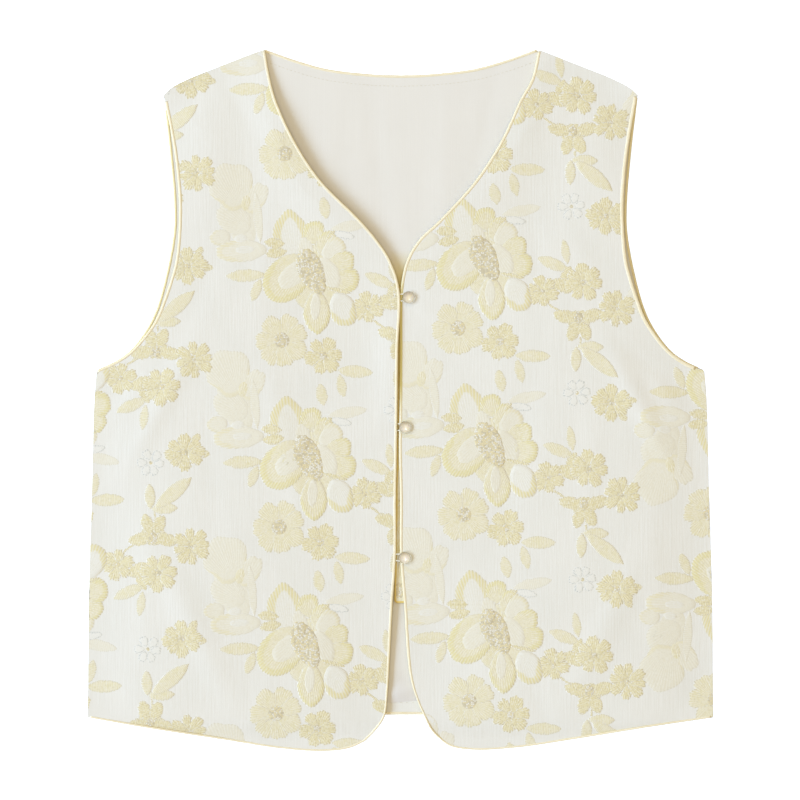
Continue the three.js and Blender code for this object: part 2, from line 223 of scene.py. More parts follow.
# what the petals' threads have in common; sizes in m
floatLook = {
    "shine": {"Roughness": 0.58, "Specular IOR Level": 0.25, "Sheen Weight": 0.16, "Sheen Roughness": 0.4},
    "ragScale": 520.0, "wobble": 0.9, "tight": (0.25, 0.75),
    "broken": (0.0022, 0.0030), "brokenBand": (0.30, 0.62),
    "patches": (0.005, 0.008), "patchBand": (0.42, 0.62), "patchShare": 0.6,
    "bandEdge": (-0.0009, 0.0007), "bandBetween": 0.45,
    "grain": (0.0013, 0.0016), "paleKnots": (0.56, 0.66), "darkKnots": (0.44, 0.34),
    "rim": (0.0006, 0.0014), "outside": (0.0004, 0.0001),
}


def figureMaterial(name, look):
    # floats of thread on a petal. The mesh attribute weave holds metres: x runs across the floats,
    # y in from the petal's rim, z is the width of its darker band there
    material, tree, shader = startMaterial(name, floatLook["shine"])
    ivory = threads["ivory"]["colour"]
    place = placeOn(tree)
    part = split(tree, addNode(tree, "Attribute", attribute_name="weave").outputs["Vector"])
    ragged = plainNoise(tree, place, floatLook["ragScale"], 1.5)
    shift = spread(tree, ragged, 0.3, 0.7, -look["ragged"], look["ragged"])
    depth = maths(tree, "ADD", part["Y"], shift)
    runs = join(tree, X=part["X"])
    tight = spread(tree, ribs(tree, runs, "X", look["pitch"], floatLook["wobble"]), *floatLook["tight"])
    broken = spread(tree, stretchedNoise(tree, place, floatLook["broken"]), *floatLook["brokenBand"])
    seen = maths(tree, "MULTIPLY", tight, broken)
    colour = blendColours(tree, seen, look["colour"], look["float"])
    patches = spread(tree, stretchedNoise(tree, place, floatLook["patches"]), *floatLook["patchBand"])
    half = maths(tree, "MULTIPLY", patches, floatLook["patchShare"])
    colour = blendColours(tree, half, colour, look["patch"])
    band = spread(tree, maths(tree, "SUBTRACT", part["Z"], depth), *floatLook["bandEdge"])
    strokes = spread(tree, tight, 0.0, 1.0, 1.0, floatLook["bandBetween"])
    colour = blendColours(tree, maths(tree, "MULTIPLY", band, strokes), colour, look["edge"])
    # single knots of ground and of shade among the floats
    grain = stretchedNoise(tree, place, floatLook["grain"], 1.0)
    for limits, tone in ((floatLook["paleKnots"], ivory), (floatLook["darkKnots"], look["line"])):
        few = maths(tree, "MULTIPLY", spread(tree, grain, *limits), look["knots"])
        colour = blendColours(tree, few, colour, tone)
    rim = spread(tree, depth, *floatLook["rim"], look["rim"], 0.0)
    colour = blendColours(tree, rim, colour, blendColours(tree, tight, look["line"], look["beside"]))
    # past its ragged edge the figure is ground again
    colour = blendColours(tree, spread(tree, depth, *floatLook["outside"]), colour, ivory)
    endMaterial(tree, shader, colour, seen, look["bump"])
    return material


def heartMaterial(name, look):
    # the flowers' hearts: small rings of thread, three colours of filling
    material, tree, shader = startMaterial(name, {
        "Roughness": 0.7, "Specular IOR Level": 0.2, "Sheen Weight": 0.1})
    cell = {"Vector": placeOn(tree), "Scale": 1 / look["knot"], "Randomness": 0.85}
    cells = addNode(tree, "TexVoronoi", cell).outputs["Color"]
    edges = addNode(tree, "TexVoronoi", cell, feature="DISTANCE_TO_EDGE").outputs["Distance"]
    ramp = addNode(tree, "ValToRGB", {"Fac": addNode(tree, "SeparateColor", {"Color": cells}).outputs["Red"]})
    ramp.color_ramp.interpolation = "CONSTANT"
    stops = ramp.color_ramp.elements
    stops[1].position = look["lightFrom"]
    stops.new(look["yellowFrom"])
    for stop, tone in zip(stops, ("dark", "light", "yellow")):
        stop.color = (*look[tone], 1)
    gap = spread(tree, edges, *look["gap"], look["gapShare"], 0.0)
    colour = blendColours(tree, gap, ramp.outputs["Color"], look["dark"])
    endMaterial(tree, shader, colour, edges, look["bump"])
    return material


def satinMaterial(name, look):
    # bias satin: in the UV map run, x is metres along the band, y turns round it from 0 to 1
    material, tree, shader = startMaterial(name, {
        "Roughness": look["rough"], "Specular IOR Level": 0.4, "Sheen Weight": 0.2, "Sheen Roughness": 0.3})
    part = split(tree, addNode(tree, "UVMap", uv_map="run").outputs["UV"])
    flat = join(tree, X=part["X"], Y=maths(tree, "MULTIPLY", part["Y"], look["girth"]))
    turned = addNode(tree, "Mapping", {"Vector": flat, "Rotation": (0, 0, math.radians(look["bias"]))})
    twill = ribs(tree, turned.outputs["Vector"], "X", look["twill"], 0.5)
    soft = spread(tree, stretchedNoise(tree, flat, look["slub"]), 0.35, 0.68)
    colour = blendColours(tree, soft, look["colour"], look["shade"])
    # painted shade: the sides, where they turn into the seam ditch, are painted darker gold
    height = maths(tree, "SINE", maths(tree, "MULTIPLY", part["Y"], math.tau))
    side = spread(tree, height, look["sideShadeFrom"], look["sideShadeTo"], 1.0, 0.0)
    colour = blendColours(tree, side, colour, look["side"])
    # painted shade: golden colour between two heights in Y
    if "paintedShade" in look:
        up = split(tree, placeOn(tree))["Y"]
        near = [spread(tree, up, *look["paintedShade"][limits]) for limits in ("top", "foot")]
        colour = blendColours(tree, maths(tree, "MULTIPLY", *near), colour, look["paintedShade"]["colour"])
    endMaterial(tree, shader, colour, maths(tree, "ADD", twill, soft), look["bump"], 0.00015)
    return material


def pearlMaterial(name, look):
    material, tree, shader = startMaterial(name, {
        "Roughness": 0.3, "Specular IOR Level": 0.5, "Coat Weight": 0.6, "Coat Roughness": 0.12,
        "Subsurface Weight": 0.35, "Subsurface Radius": (1.0, 0.9, 0.8), "Subsurface Scale": 0.004})
    # painted shade: the colour darkens to rim towards the ball's outline as seen
    rim = addNode(tree, "LayerWeight", {"Blend": 0.5}).outputs["Facing"]
    clouds = plainNoise(tree, placeOn(tree), look["cloudScale"], 3.0)
    body = blendColours(tree, spread(tree, clouds, 0.35, 0.65), look["colour"], look["cloud"])
    endMaterial(tree, shader, blendColours(tree, rim, body, look["rim"]), clouds, 0.06, 0.0001)
    return material


paper = {"dark": (0.94, 0.94, 0.94), "light": (0.98, 0.98, 0.98), "grain": 900.0, "glow": (0.50, 0.62, 0.85)}


def floorMaterial():
    material, tree, shader = startMaterial("studioPaper", {
        "Roughness": 0.9, "Specular IOR Level": 0.1,
        "Emission Color": (*paper["glow"], 1), "Emission Strength": 1.0})
    grain = plainNoise(tree, placeOn(tree), paper["grain"])
    tree.links.new(blendColours(tree, grain, paper["dark"], paper["light"]), shader.inputs["Base Color"])
    return material


threads = {
    "ivory": {"colour": (0.815, 0.812, 0.768), "shade": (0.775, 0.775, 0.728), "bump": 0.22},
    "lining": {"colour": (0.79, 0.780, 0.740), "shade": (0.765, 0.755, 0.715), "slub": (0.0009, 0.06),
               "warp": 0.0004, "weft": 0.0004, "bump": 0.12, "rough": 0.5, "gloss": 0.35, "sheen": 0.1,
               # painted light in its colour, none to all of it, in m: painted shade and painted gold
               # reflection from the satin where the neck narrows, and painted shade of the fold above the hem
               "paintedShades": [
                   {"across": (0.020, 0.008), "top": (0.116, 0.090), "foot": (-0.160, -0.135),
                    "colour": (0.73, 0.62, 0.25)},
                   {"across": (0.060, 0.040), "top": (-0.208, -0.232), "foot": (-0.250, -0.240),
                    "colour": (0.725, 0.710, 0.690)}]},
    "stitching": {"colour": (0.74, 0.71, 0.60), "shade": (0.70, 0.67, 0.56), "rough": 0.6},
}
# beside is the cloth between the floats along a petal's rim, ragged is how far the rim strays, in m
figures = {
    "pale": {"colour": (0.755, 0.710, 0.480), "float": (0.840, 0.810, 0.680), "patch": (0.80, 0.765, 0.610),
             "edge": (0.750, 0.695, 0.390), "line": (0.610, 0.570, 0.430), "beside": (0.80, 0.79, 0.71),
             "rim": 0.8, "pitch": 0.0013, "bump": 0.35, "ragged": 0.0006, "knots": 0.30},
    "deep": {"colour": (0.715, 0.650, 0.385), "float": (0.845, 0.812, 0.650),
             "patch": (0.785, 0.735, 0.500), "edge": (0.735, 0.665, 0.375),
             "line": (0.570, 0.520, 0.370), "beside": (0.80, 0.78, 0.68),
             "rim": 0.8, "pitch": 0.0013, "bump": 0.4, "ragged": 0.0009, "knots": 0.55},
    "soft": {"colour": (0.780, 0.755, 0.630), "float": (0.815, 0.800, 0.710), "patch": (0.80, 0.785, 0.680),
             "edge": (0.775, 0.730, 0.530), "line": (0.680, 0.660, 0.570), "beside": (0.80, 0.795, 0.73),
             "rim": 0.65, "pitch": 0.0015, "bump": 0.2, "ragged": 0.0005, "knots": 0.25},
    "ground": {"colour": (0.785, 0.775, 0.690), "float": (0.815, 0.812, 0.765),
               "patch": (0.80, 0.80, 0.740), "edge": (0.745, 0.680, 0.385),
               "line": (0.660, 0.630, 0.520), "beside": (0.80, 0.79, 0.72),
               "rim": 0.8, "pitch": 0.0015, "bump": 0.2, "ragged": 0.0005, "knots": 0.2},
    "drawn": {"colour": (0.805, 0.805, 0.758), "float": (0.815, 0.812, 0.768), "patch": (0.81, 0.81, 0.765),
              "edge": (0.80, 0.80, 0.76), "line": (0.520, 0.550, 0.535), "beside": (0.74, 0.75, 0.71),
              "rim": 0.85, "pitch": 0.0013, "bump": 0.15, "ragged": 0.0007, "knots": 0.15},
}
material = {name: wovenMaterial(name, look) for name, look in threads.items()}
for name, look in figures.items():
    material[name] = figureMaterial("figure" + name.title(), look)
material["heart"] = heartMaterial("figureHeart", {
    "knot": 0.0013, "dark": (0.60, 0.55, 0.40), "light": (0.82, 0.81, 0.74), "yellow": (0.78, 0.70, 0.44),
    "lightFrom": 0.2, "yellowFrom": 0.58, "gap": (0.05, 0.22), "gapShare": 0.75, "bump": 0.3})
# side is a painted shade colour for the band's sides, blended in between sideShadeFrom and sideShadeTo
satinThread = {"colour": (0.885, 0.825, 0.640), "shade": (0.86, 0.785, 0.560), "side": (0.68, 0.56, 0.26),
               "sideShadeFrom": 0.35, "sideShadeTo": 0.85, "rough": 0.42, "bump": 0.25,
               "bias": 45, "twill": 0.0006, "girth": 0.0078, "slub": (0.006, 0.002)}
material["satin"] = satinMaterial("satin", satinThread)
# painted shade: the left front's piping is painted golden where the other front shades it
material["satinShaded"] = satinMaterial("satinShaded", {
    **satinThread, "paintedShade": {"top": (0.097, 0.080), "foot": (-0.012, 0.012), "colour": (0.66, 0.57, 0.21)}})
# painted shade and painted reflected gold: a deeper gold satin for the back armholes under the fronts' edges,
# worn also where they are lit
material["satinBehindShaded"] = satinMaterial("satinBehindShaded", {
    **satinThread, "colour": (0.87, 0.785, 0.51), "shade": (0.84, 0.755, 0.44), "side": (0.54, 0.475, 0.25),
    "sideShadeFrom": 0.5, "sideShadeTo": 0.96})
# painted shade and painted reflected gold: a deep gold satin for the underlap's piping, which lies in the
# fronts' shade
material["satinUnderShaded"] = satinMaterial("satinUnderShaded", {
    **satinThread, "colour": (0.78, 0.62, 0.22), "shade": (0.74, 0.56, 0.17), "side": (0.60, 0.42, 0.10)})
material["cord"] = satinMaterial("cord", {
    **satinThread, "colour": (0.90, 0.87, 0.76), "shade": (0.87, 0.83, 0.70), "side": (0.84, 0.79, 0.62)})
# rim is the painted shade colour along the ball's outline
material["pearl"] = pearlMaterial("pearl", {
    "colour": (0.74, 0.71, 0.60), "cloud": (0.72, 0.68, 0.70), "rim": (0.42, 0.38, 0.25),
    "cloudScale": 420.0})


# outlines, in mm
# finished edges: (distance from the centre line, y)
outline = {
    "side": [(241.5, -244.9), (240.6, -150), (238.5, -77), (236.4, 0)],
    "backArmhole": [(234.6, 23.4), (218.6, 31.1), (208.4, 38.8), (196.6, 54.3), (188.9, 69.8),
                    (180.4, 100.7), (175.2, 131.6), (175.2, 154.8), (178.5, 193.5), (183.4, 235.6)],
    "frontArmhole": [(234.2, 22.8), (218.0, 30.5), (207.4, 38.2), (199.8, 46.6), (189, 62),
                     (182.6, 77.5), (177.4, 92.9), (173.4, 108.4), (170.9, 139.3), (171.4, 162.5),
                     (174.9, 193.5), (182.8, 235.2)],
    "shoulder": [(105.6, 271.4), (116.3, 267), (138, 258.4), (162.5, 248.6), (178.4, 240.4),
                 (183.4, 235.6)],
    "backNeck": [(105.6, 271.4), (95.4, 267.6), (78, 261.7), (56, 255.8), (22, 251.9), (0, 251.1)],
    "backHem": [(241.5, -244.9), (120, -243.4), (0, -242.9)],
}
armholeMore = {("frontArmhole", "left"): 1.3}  # how much further out one of the armholes lies at its middle
# inner edge of the fronts, from the middle of the round corner up to the neck: (y, right, left)
openingEdge = [
    (-263.4, 27.5, 31.9), (-255.2, 19.6, 23.8), (-244.2, 12.3, 18.2), (-227, 9.9, 11.0), (-208.5, 8.7, 6.5),
    (-154.4, 5.8, 2.4), (-139.3, 4.6, 1.0), (-115.8, 3.3, -0.5), (-77.3, 3.3, -0.4),
    (-38.5, 2.7, -1.2), (-7.5, 2.3, -0.9), (38.8, 1.8, -0.7), (85.2, 0.7, -0.1), (108.4, 8.1, 5.0),
    (123.9, 18.3, 14.3), (139.3, 31.5, 30.5), (170.3, 62.2, 58.4), (201.2, 82.3, 78.1),
    (232.1, 96.2, 92.4), (247.6, 100.4, 101.0), (270.6, 104.6, 106.4),
]
# hem of the fronts, from that corner out to the side seam: (out, right y, left y)
frontHem = [(39, -268.6, -267.6), (58.4, -271.1, -270.2), (93, -269, -268), (132, -263, -262.2),
            (194, -253.2, -252), (241.5, -244.9, -244.9)]


def runOf(line):
    # the way along a line to each of its points
    return np.concatenate([[0], np.cumsum(np.linalg.norm(np.diff(line, axis=0), axis=1))])


def lengthOf(line):
    return runOf(line)[-1]


def evenly(line, count):
    run = runOf(line)
    at = np.linspace(0, run[-1], count)
    return np.column_stack([np.interp(at, run, line[:, k]) for k in range(line.shape[1])])


def smoothLine(rows, count=241):
    # evenly spaced points of a centripetal Catmull-Rom curve through the rows
    p = np.array(rows, float)
    p = np.vstack([2 * p[0] - p[1], p, 2 * p[-1] - p[-2]])
    t = np.linspace(0, 1, 30)[:, None]
    spans = []
    for a, b, c, d in zip(p, p[1:], p[2:], p[3:]):
        before, here, after = (math.sqrt(np.linalg.norm(v)) for v in (b - a, c - b, d - c))
        out = ((b - a) / before - (c - a) / (before + here) + (c - b) / here) * here
        into = ((c - b) / here - (d - b) / (here + after) + (d - c) / after) * here
        square, cube = 3 * (c - b) - 2 * out - into, 2 * (b - c) + out + into
        spans.append(b + t * out + t ** 2 * square + t ** 3 * cube)
    return evenly(np.vstack(spans), count)


def lineOf(rows, side, count=241):
    return smoothLine([(sideSign[side] * out, y) for out, y in rows], count)


def armholeOf(name, side):
    rows = outline[name]
    low, high = rows[0][1], rows[-1][1]
    more = armholeMore.get((name, side), 0)
    return lineOf([(out + more * math.sin(math.pi * (y - low) / (high - low)), y) for out, y in rows], side)


def inset(line, distance, inside):
    # the line moved in by a distance, to the side on which the point inside lies
    along = np.gradient(line, axis=0)
    across = np.column_stack([-along[:, 1], along[:, 0]])
    across /= np.linalg.norm(across, axis=1)[:, None]
    return line + across * np.sign(((inside - line) * across).sum()) * distance


def pinned(line, first, last):
    # the same line, with its ends drawn to two given points
    t = np.linspace(0, 1, len(line))[:, None]
    return line + (first - line[0]) * (1 - t) ** 12 + (last - line[-1]) * t ** 12


def distanceTo(line, x, y):
    a, d = line[:-1], np.diff(line, axis=0)
    px, py = x[:, None] - a[:, 0], y[:, None] - a[:, 1]
    t = np.clip((px * d[:, 0] + py * d[:, 1]) / (d ** 2).sum(axis=1), 0, 1)
    return np.hypot(px - t * d[:, 0], py - t * d[:, 1]).min(axis=1)


inBack = np.array([0, 20])
inFront = {"right": np.array([-112, 30]), "left": np.array([112, 30])}
frontLine = {}
for side, sign in sideSign.items():
    column = 1 if side == "right" else 2
    inner = [(sign * row[column], row[0]) for row in openingEdge]
    hem = [(sign * row[0], row[column]) for row in frontHem]
    frontLine[side] = {
        "inner": smoothLine(inner, 481),
        "hem": smoothLine([inner[0]] + hem),
        "shoulder": lineOf(outline["shoulder"], side),
        "armhole": armholeOf("frontArmhole", side),
        "side": lineOf(outline["side"] + [outline["backArmhole"][0]], side),
    }

# heights, in mm
layers = {
    "liningTop": 2.4, "frontCloth": 1.2,
    "boundRise": 0.6, "openRise": 2.0, "riseEase": 70,  # fronts over the lining: at the seams, past the ease
    "mostLift": 3.8, "liftEase": 30,
    "creaseSeam": 12, "creaseFrom": 3, "creaseEase": 12,  # creases fade towards seams and piping
    "seamSink": 0.6, "sinkEase": 40, "sinkFrom": 2, "sinkBound": 25,
    "hemTurn": 18, "hemTurnAt": -244.5, "hemRest": 0.6,
}
# soft swells and folds of the fronts: (out, y, half length, half width, turn in degrees, right, left)
lifts = [
    (58, 160, 66, 30, 40, 2.0, 1.5),  # along the neck edge
    (92, 222, 34, 20, 75, 1.3, 0.9),
    (118, 52, 62, 58, 0, 0.9, 1.0),  # bust
    (128, -128, 70, 60, 90, 0.9, 0.8),
    (186, -6, 52, 9, 118, 0.7, 0.9),  # fold in from the underarm
    (88, -40, 60, 11, 78, 0.5, -0.5),
    (158, -176, 56, 12, 64, 0.8, 0.6),  # fold to the hem
    (150, 186, 52, 26, 84, 1.3, 0.8),
    (4, 38, 52, 15, 90, 1.3, -0.3),  # opening edge
    (20, -225, 60, 30, 90, -1.0, -0.8),  # below the underlap
]
# finer creases, laid over the swells: same columns
creases = [
    (206, 6, 30, 7, 128, 0.34, 0.28), (192, 26, 24, 6, 140, -0.2, -0.24), (214, -30, 36, 7, 108, 0.16, 0.2),
    (24, 66, 22, 6, 152, 0.20, 0.16), (30, -28, 26, 7, 168, 0.16, 0.2), (26, -112, 24, 6, 14, 0.18, 0.14),
    (104, 118, 46, 8, 96, 0.24, -0.18), (146, -60, 58, 9, 86, -0.2, 0.24),
    (62, -182, 44, 8, 98, 0.24, 0.18), (196, -140, 60, 8, 92, 0.22, 0.2), (128, 232, 22, 6, 62, -0.16, 0.18),
    (108, -236, 34, 7, 108, 0.14, -0.16), (84, 196, 36, 8, 48, 0.22, 0.2), (150, 92, 40, 8, 118, -0.2, 0.22),
]


def ease(t):
    t = np.clip(t, 0, 1)
    return t * t * (3 - 2 * t)


def swell(dx, dy, long, wide, turn):
    # a soft oval hill, 1 high
    c, s = math.cos(math.radians(turn)), math.sin(math.radians(turn))
    return np.exp(-(((dx * c + dy * s) / long) ** 2 + ((dy * c - dx * s) / wide) ** 2))


def swellsAt(rows, side, x, y):
    total = np.zeros_like(x)
    for out, atY, long, wide, turn, *depth in rows:
        total += depth[side == "left"] * swell(sideSign[side] * x - out, y - atY, long, wide, turn)
    return total


def toSeam(side, x, y):
    line = frontLine[side]
    return np.minimum(distanceTo(line["side"][::4], x, y), distanceTo(line["shoulder"][::4], x, y))


def toBound(side, x, y):
    line = frontLine[side]
    return np.min([distanceTo(line[name][::4], x, y) for name in ("inner", "hem", "armhole")], axis=0)


def frontUnder(side, x, y, fine=True):
    seam, bound = toSeam(side, x, y), toBound(side, x, y)
    low, high = layers["boundRise"], layers["openRise"]
    rise = low + (high - low) * ease(seam / layers["riseEase"])
    rise += swellsAt(lifts, side, x, y) * ease(seam / layers["liftEase"])
    rise = np.clip(rise, low, layers["mostLift"])
    if fine:
        fade = ease(seam / layers["creaseSeam"]) * ease((bound - layers["creaseFrom"]) / layers["creaseEase"])
        rise += swellsAt(creases, side, x, y) * fade
    sink = (1 - ease(seam / layers["sinkEase"])) * ease((bound - layers["sinkFrom"]) / layers["sinkBound"])
    rise -= layers["seamSink"] * sink
    height = layers["liningTop"] + rise
    dropped = ease((layers["hemTurnAt"] - y) / layers["hemTurn"])
    return height + (layers["hemRest"] - height) * dropped


def frontTop(side, x, y):
    return frontUnder(side, x, y) + layers["frontCloth"]


# panels
def finish(piece, mesh, materials, nodes):
    obj = bpy.data.objects.new(piece, mesh)
    bpy.context.collection.objects.link(obj)
    for name in materials:
        mesh.materials.append(material[name])
    mesh.shade_smooth()
    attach(obj, "root")
    if nodes:
        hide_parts(*nodes)
    return obj


def newMesh(name, bm):
    mesh = bpy.data.meshes.new(name)
    bm.to_mesh(mesh)
    bm.free()
    return mesh


def many(name, shape, count):
    # a mesh with so many copies of a shape
    bm = bmesh.new()
    for _ in range(count):
        bm.from_mesh(shape)
    return newMesh(name, bm)


def closeUp(bm, merge=None):
    # fills the open ends and turns the faces outwards
    if merge:
        bmesh.ops.remove_doubles(bm, verts=bm.verts, dist=merge)
    bmesh.ops.holes_fill(bm, edges=[edge for edge in bm.edges if edge.is_boundary], sides=0)
    bmesh.ops.recalc_face_normals(bm, faces=bm.faces)


def readPoints(mesh):
    flat = np.empty(len(mesh.vertices) * 3)
    mesh.vertices.foreach_get("co", flat)
    return flat.reshape(-1, 3)


def writePoints(mesh, points):
    mesh.vertices.foreach_set("co", np.ascontiguousarray(points, float).ravel())
    mesh.update()


def coons(edges, u, v):
    bottom, top, start, end = edges

    def at(line, share):
        k = share * (len(line) - 1)
        return np.column_stack([np.interp(k, np.arange(len(line)), line[:, c]) for c in (0, 1)])

    u1, v1 = u[:, None], v[:, None]
    ruled = at(start, v) * (1 - u1) + at(end, v) * u1 + at(bottom, u) * (1 - v1) + at(top, u) * v1
    low = bottom[0] * (1 - u1) + bottom[-1] * u1
    high = top[0] * (1 - u1) + top[-1] * u1
    return ruled - low * (1 - v1) - high * v1


def panelMesh(name, across, up, edges, heightOf, faceUp=True):
    # a grid drawn between four edges, lifted to the cloth's outer face
    bm = bmesh.new()
    bmesh.ops.create_grid(bm, x_segments=across, y_segments=up, size=0.5)
    for edge in bm.edges:
        edge.smooth = not edge.is_boundary
    mesh = newMesh(name, bm)
    grid = readPoints(mesh)
    plan = coons(edges, np.clip(grid[:, 0] + 0.5, 0, 1), np.clip(grid[:, 1] + 0.5, 0, 1))
    heights = heightOf(plan[:, 0], plan[:, 1])
    writePoints(mesh, np.column_stack([plan, heights]) * mm)
    if (sum(face.normal.z * face.area for face in mesh.polygons) > 0) != faceUp:
        mesh.flip_normals()
    return mesh


def addWall(obj, thick, inner=0, extra=None, most=0.0):
    # extra is a share for each point, from 0 to 1, of the way from thick to most
    wall = obj.modifiers.new("wall", "SOLIDIFY")
    wall.thickness = thick * mm
    if extra is not None:
        group = obj.vertex_groups.new(name="wall")
        for index in np.flatnonzero(extra > 0.001):
            group.add([int(index)], float(extra[index]), "REPLACE")
        wall.vertex_group = group.name
        wall.thickness = most * mm
        wall.thickness_vertex_group = thick / most
    wall.offset = -1
    wall.use_even_offset = False
    wall.material_offset = inner


def rimOf(edges):
    bottom, top, start, end = edges
    return np.vstack([bottom, end[1:], top[::-1][1:], start[::-1][1:-1]])


def sideAndArmhole(side, armhole, edge, seam, counts=(105, 97)):
    # outer edge of a panel, from the hem up its side and round its armhole
    hole = armholeOf(armhole, side)
    run = runOf(hole)
    low, high = (bare + 2 for bare in bareEnds[armhole, side])
    covered = np.minimum(ease(run / low), ease((run[-1] - run) / high))
    hole = inset(hole, (edge * covered)[:, None], inFront[side])
    corner = np.array([sideSign[side] * (outline["backArmhole"][0][0] - seam), hole[0][1]])
    hole = pinned(hole, corner, hole[-1])
    rows = [(out - seam, y) for out, y in outline["side"]] + [(abs(corner[0]), corner[1])]
    straight = lineOf(rows, side)
    return np.vstack([evenly(straight, counts[0]), evenly(hole, counts[1])[1:]])


def frontEdges(side, edge, seam=0.0):
    line = frontLine[side]
    start = evenly(inset(line["inner"], edge, inFront[side]), 201)
    bottom = evenly(inset(line["hem"], edge, inFront[side]), 201)
    end = sideAndArmhole(side, "frontArmhole", edge, seam)
    corner = (start[0] + bottom[0]) / 2
    start = pinned(start, corner, start[-1])
    bottom = pinned(bottom, corner, end[0])
    top = pinned(inset(line["shoulder"][4:-2], seam, inFront[side]), start[-1], end[-1])
    return bottom, evenly(top, 201), start, end


def backEdges(edge, seam, hemAt=None):
    start, end = (sideAndArmhole(side, "backArmhole", edge, seam) for side in ("right", "left"))
    halves = {}
    for side, corner in (("right", start[-1]), ("left", end[-1])):
        neck = inset(lineOf(outline["backNeck"], side), edge, inBack)
        shoulder = inset(lineOf(outline["shoulder"], side)[::-1], seam, inBack)
        halves[side] = np.vstack([evenly(pinned(shoulder, corner, neck[0]), 45), evenly(neck, 57)[1:]])
    top = np.vstack([halves["right"], halves["left"][::-1][1:]])
    x = np.linspace(start[0][0], end[0][0], 201)
    hem = outline["backHem"]
    y = hem[2][1] + (hem[0][1] - hem[2][1]) * (x / hem[0][0]) ** 2 + edge
    if hemAt is not None:
        y = hemAt + liningPanel["hemTilt"] * x * np.exp(-(x / liningPanel["hemTiltWide"]) ** 2)
    bottom = np.column_stack([x, y])
    return bottom, top, pinned(start, bottom[0], start[-1]), pinned(end, bottom[-1], end[-1])


frontPanel = {"across": 116, "up": 256, "edge": 1.1, "wall": 1.1,
              "seamWall": 2.1, "seamWide": 5, "seamFoot": 6,  # thicker beside a seam, above the hem
              "figureEdge": 1.4, "figureSeam": 0.15}
backPanel = {"across": 130, "up": 140, "edge": 1.1, "wall": 0.8, "under": 0.25}
liningPanel = {"across": 120, "up": 190, "edge": 1.8, "seam": 8, "hem": -233.1, "wall": 0.9,
               "hemTilt": 0.09, "hemTiltWide": 26}
# how much of each armhole's edge is left without piping at the underarm and at the shoulder, in mm
bareEnds = {
    ("frontArmhole", "right"): (0.8, 4.5), ("frontArmhole", "left"): (7.0, 0.6),
    ("backArmhole", "right"): (0.8, 11.5), ("backArmhole", "left"): (5.0, 1.2),
}


def makeFront(side):
    edges = frontEdges(side, frontPanel["edge"])
    name = f"front{side.title()}"
    mesh = panelMesh(name, frontPanel["across"], frontPanel["up"], edges, partial(frontTop, side))
    panel = finish(name, mesh, ["ivory", "lining"], [f"front_{side}"])
    plan = readPoints(mesh) / mm
    thicker = 1 - ease(toSeam(side, plan[:, 0], plan[:, 1]) / frontPanel["seamWide"])
    thicker *= ease((plan[:, 1] - layers["hemTurnAt"]) / frontPanel["seamFoot"])
    addWall(panel, frontPanel["wall"], 1, thicker, frontPanel["seamWall"])
    return panel, rimOf(frontEdges(side, frontPanel["figureEdge"], frontPanel["figureSeam"]))


def backUnder(x, y):
    return np.full_like(x, backPanel["under"])


def makeBack():
    # the outer face lies on the floor; its figure stands between the cloth and the floor
    edges = backEdges(backPanel["edge"], 0)
    mesh = panelMesh("back", backPanel["across"], backPanel["up"], edges, backUnder, faceUp=False)
    panel = finish("backPanel", mesh, ["ivory", "lining"], ["back"])
    addWall(panel, backPanel["wall"], 1)
    return panel, rimOf(edges)


# faint folds that show in the lining below the neck: (x, y, half length, half width, turn, depth)
liningFolds = [(-60, 150, 80, 9, 84, 0.22), (-18, 190, 70, 7, 96, -0.16), (34, 170, 90, 10, 88, 0.2),
               (66, 214, 50, 6, 78, -0.14), (6, 90, 60, 8, 92, 0.12),
               (2, -225, 15, 5, 14, 0.8), (9, -216, 12, 5, -24, -0.3), (-3, -205, 30, 5, 84, 0.3)]


def liningTopAt(x, y):
    height = np.full_like(x, layers["liningTop"])
    for atX, atY, long, wide, turn, depth in liningFolds:
        height += depth * swell(x - atX, y - atY, long, wide, turn)
    return height


def makeLining():
    edges = backEdges(liningPanel["edge"], liningPanel["seam"], liningPanel["hem"])
    mesh = panelMesh("lining", liningPanel["across"], liningPanel["up"], edges, liningTopAt)
    panel = finish("backLining", mesh, ["lining"], ["back_lining"])
    addWall(panel, liningPanel["wall"])
    return panel


hemFacing = {"halfWide": 235.5, "foot": 1.8, "head": 1.4, "top": 2.25, "wall": 0.7,
             "wave": 0.12, "waveLengths": (7.3, 23)}


def makeHemFacing():
    x = np.linspace(-hemFacing["halfWide"], hemFacing["halfWide"], 121)
    corner, middle = outline["backHem"][0], outline["backHem"][-1]
    low = middle[1] + (corner[1] - middle[1]) * (x / corner[0]) ** 2 + hemFacing["foot"]
    high = np.full_like(x, liningPanel["hem"] + hemFacing["head"])
    bottom, top = np.column_stack([x, low]), np.column_stack([x, high])
    ends = [np.linspace(foot, head, 9) for foot, head in ((bottom[0], top[0]), (bottom[-1], top[-1]))]
    short, long = hemFacing["waveLengths"]
    mesh = panelMesh("hemFacing", 120, 6, (bottom, top, *ends),
                     lambda x, y: hemFacing["top"] + hemFacing["wave"] * np.sin(x / short) * np.sin(x / long))
    piece = finish("hemFacing", mesh, ["ivory"], ["back_hem_facing"])
    addWall(piece, hemFacing["wall"])
    return piece


underlap = {"inner": 26, "top": 88, "bottom": -156.6, "edgeTop": -1.4, "edgeBottom": -5.0,
            "piping": 2.0, "pipingHigh": 0.62, "pipingDrop": 0.5, "turn": 3.2,
            "face": 3.7, "ripple": 0.05, "wall": 0.9, "tucked": 0.9}


def underlapEdge(y):
    share = (y - underlap["bottom"]) / (underlap["top"] - underlap["bottom"])
    return underlap["edgeBottom"] + (underlap["edgeTop"] - underlap["edgeBottom"]) * share


def underlapTop(x, y):
    return underlap["face"] + underlap["ripple"] * np.sin(y / 6.1)


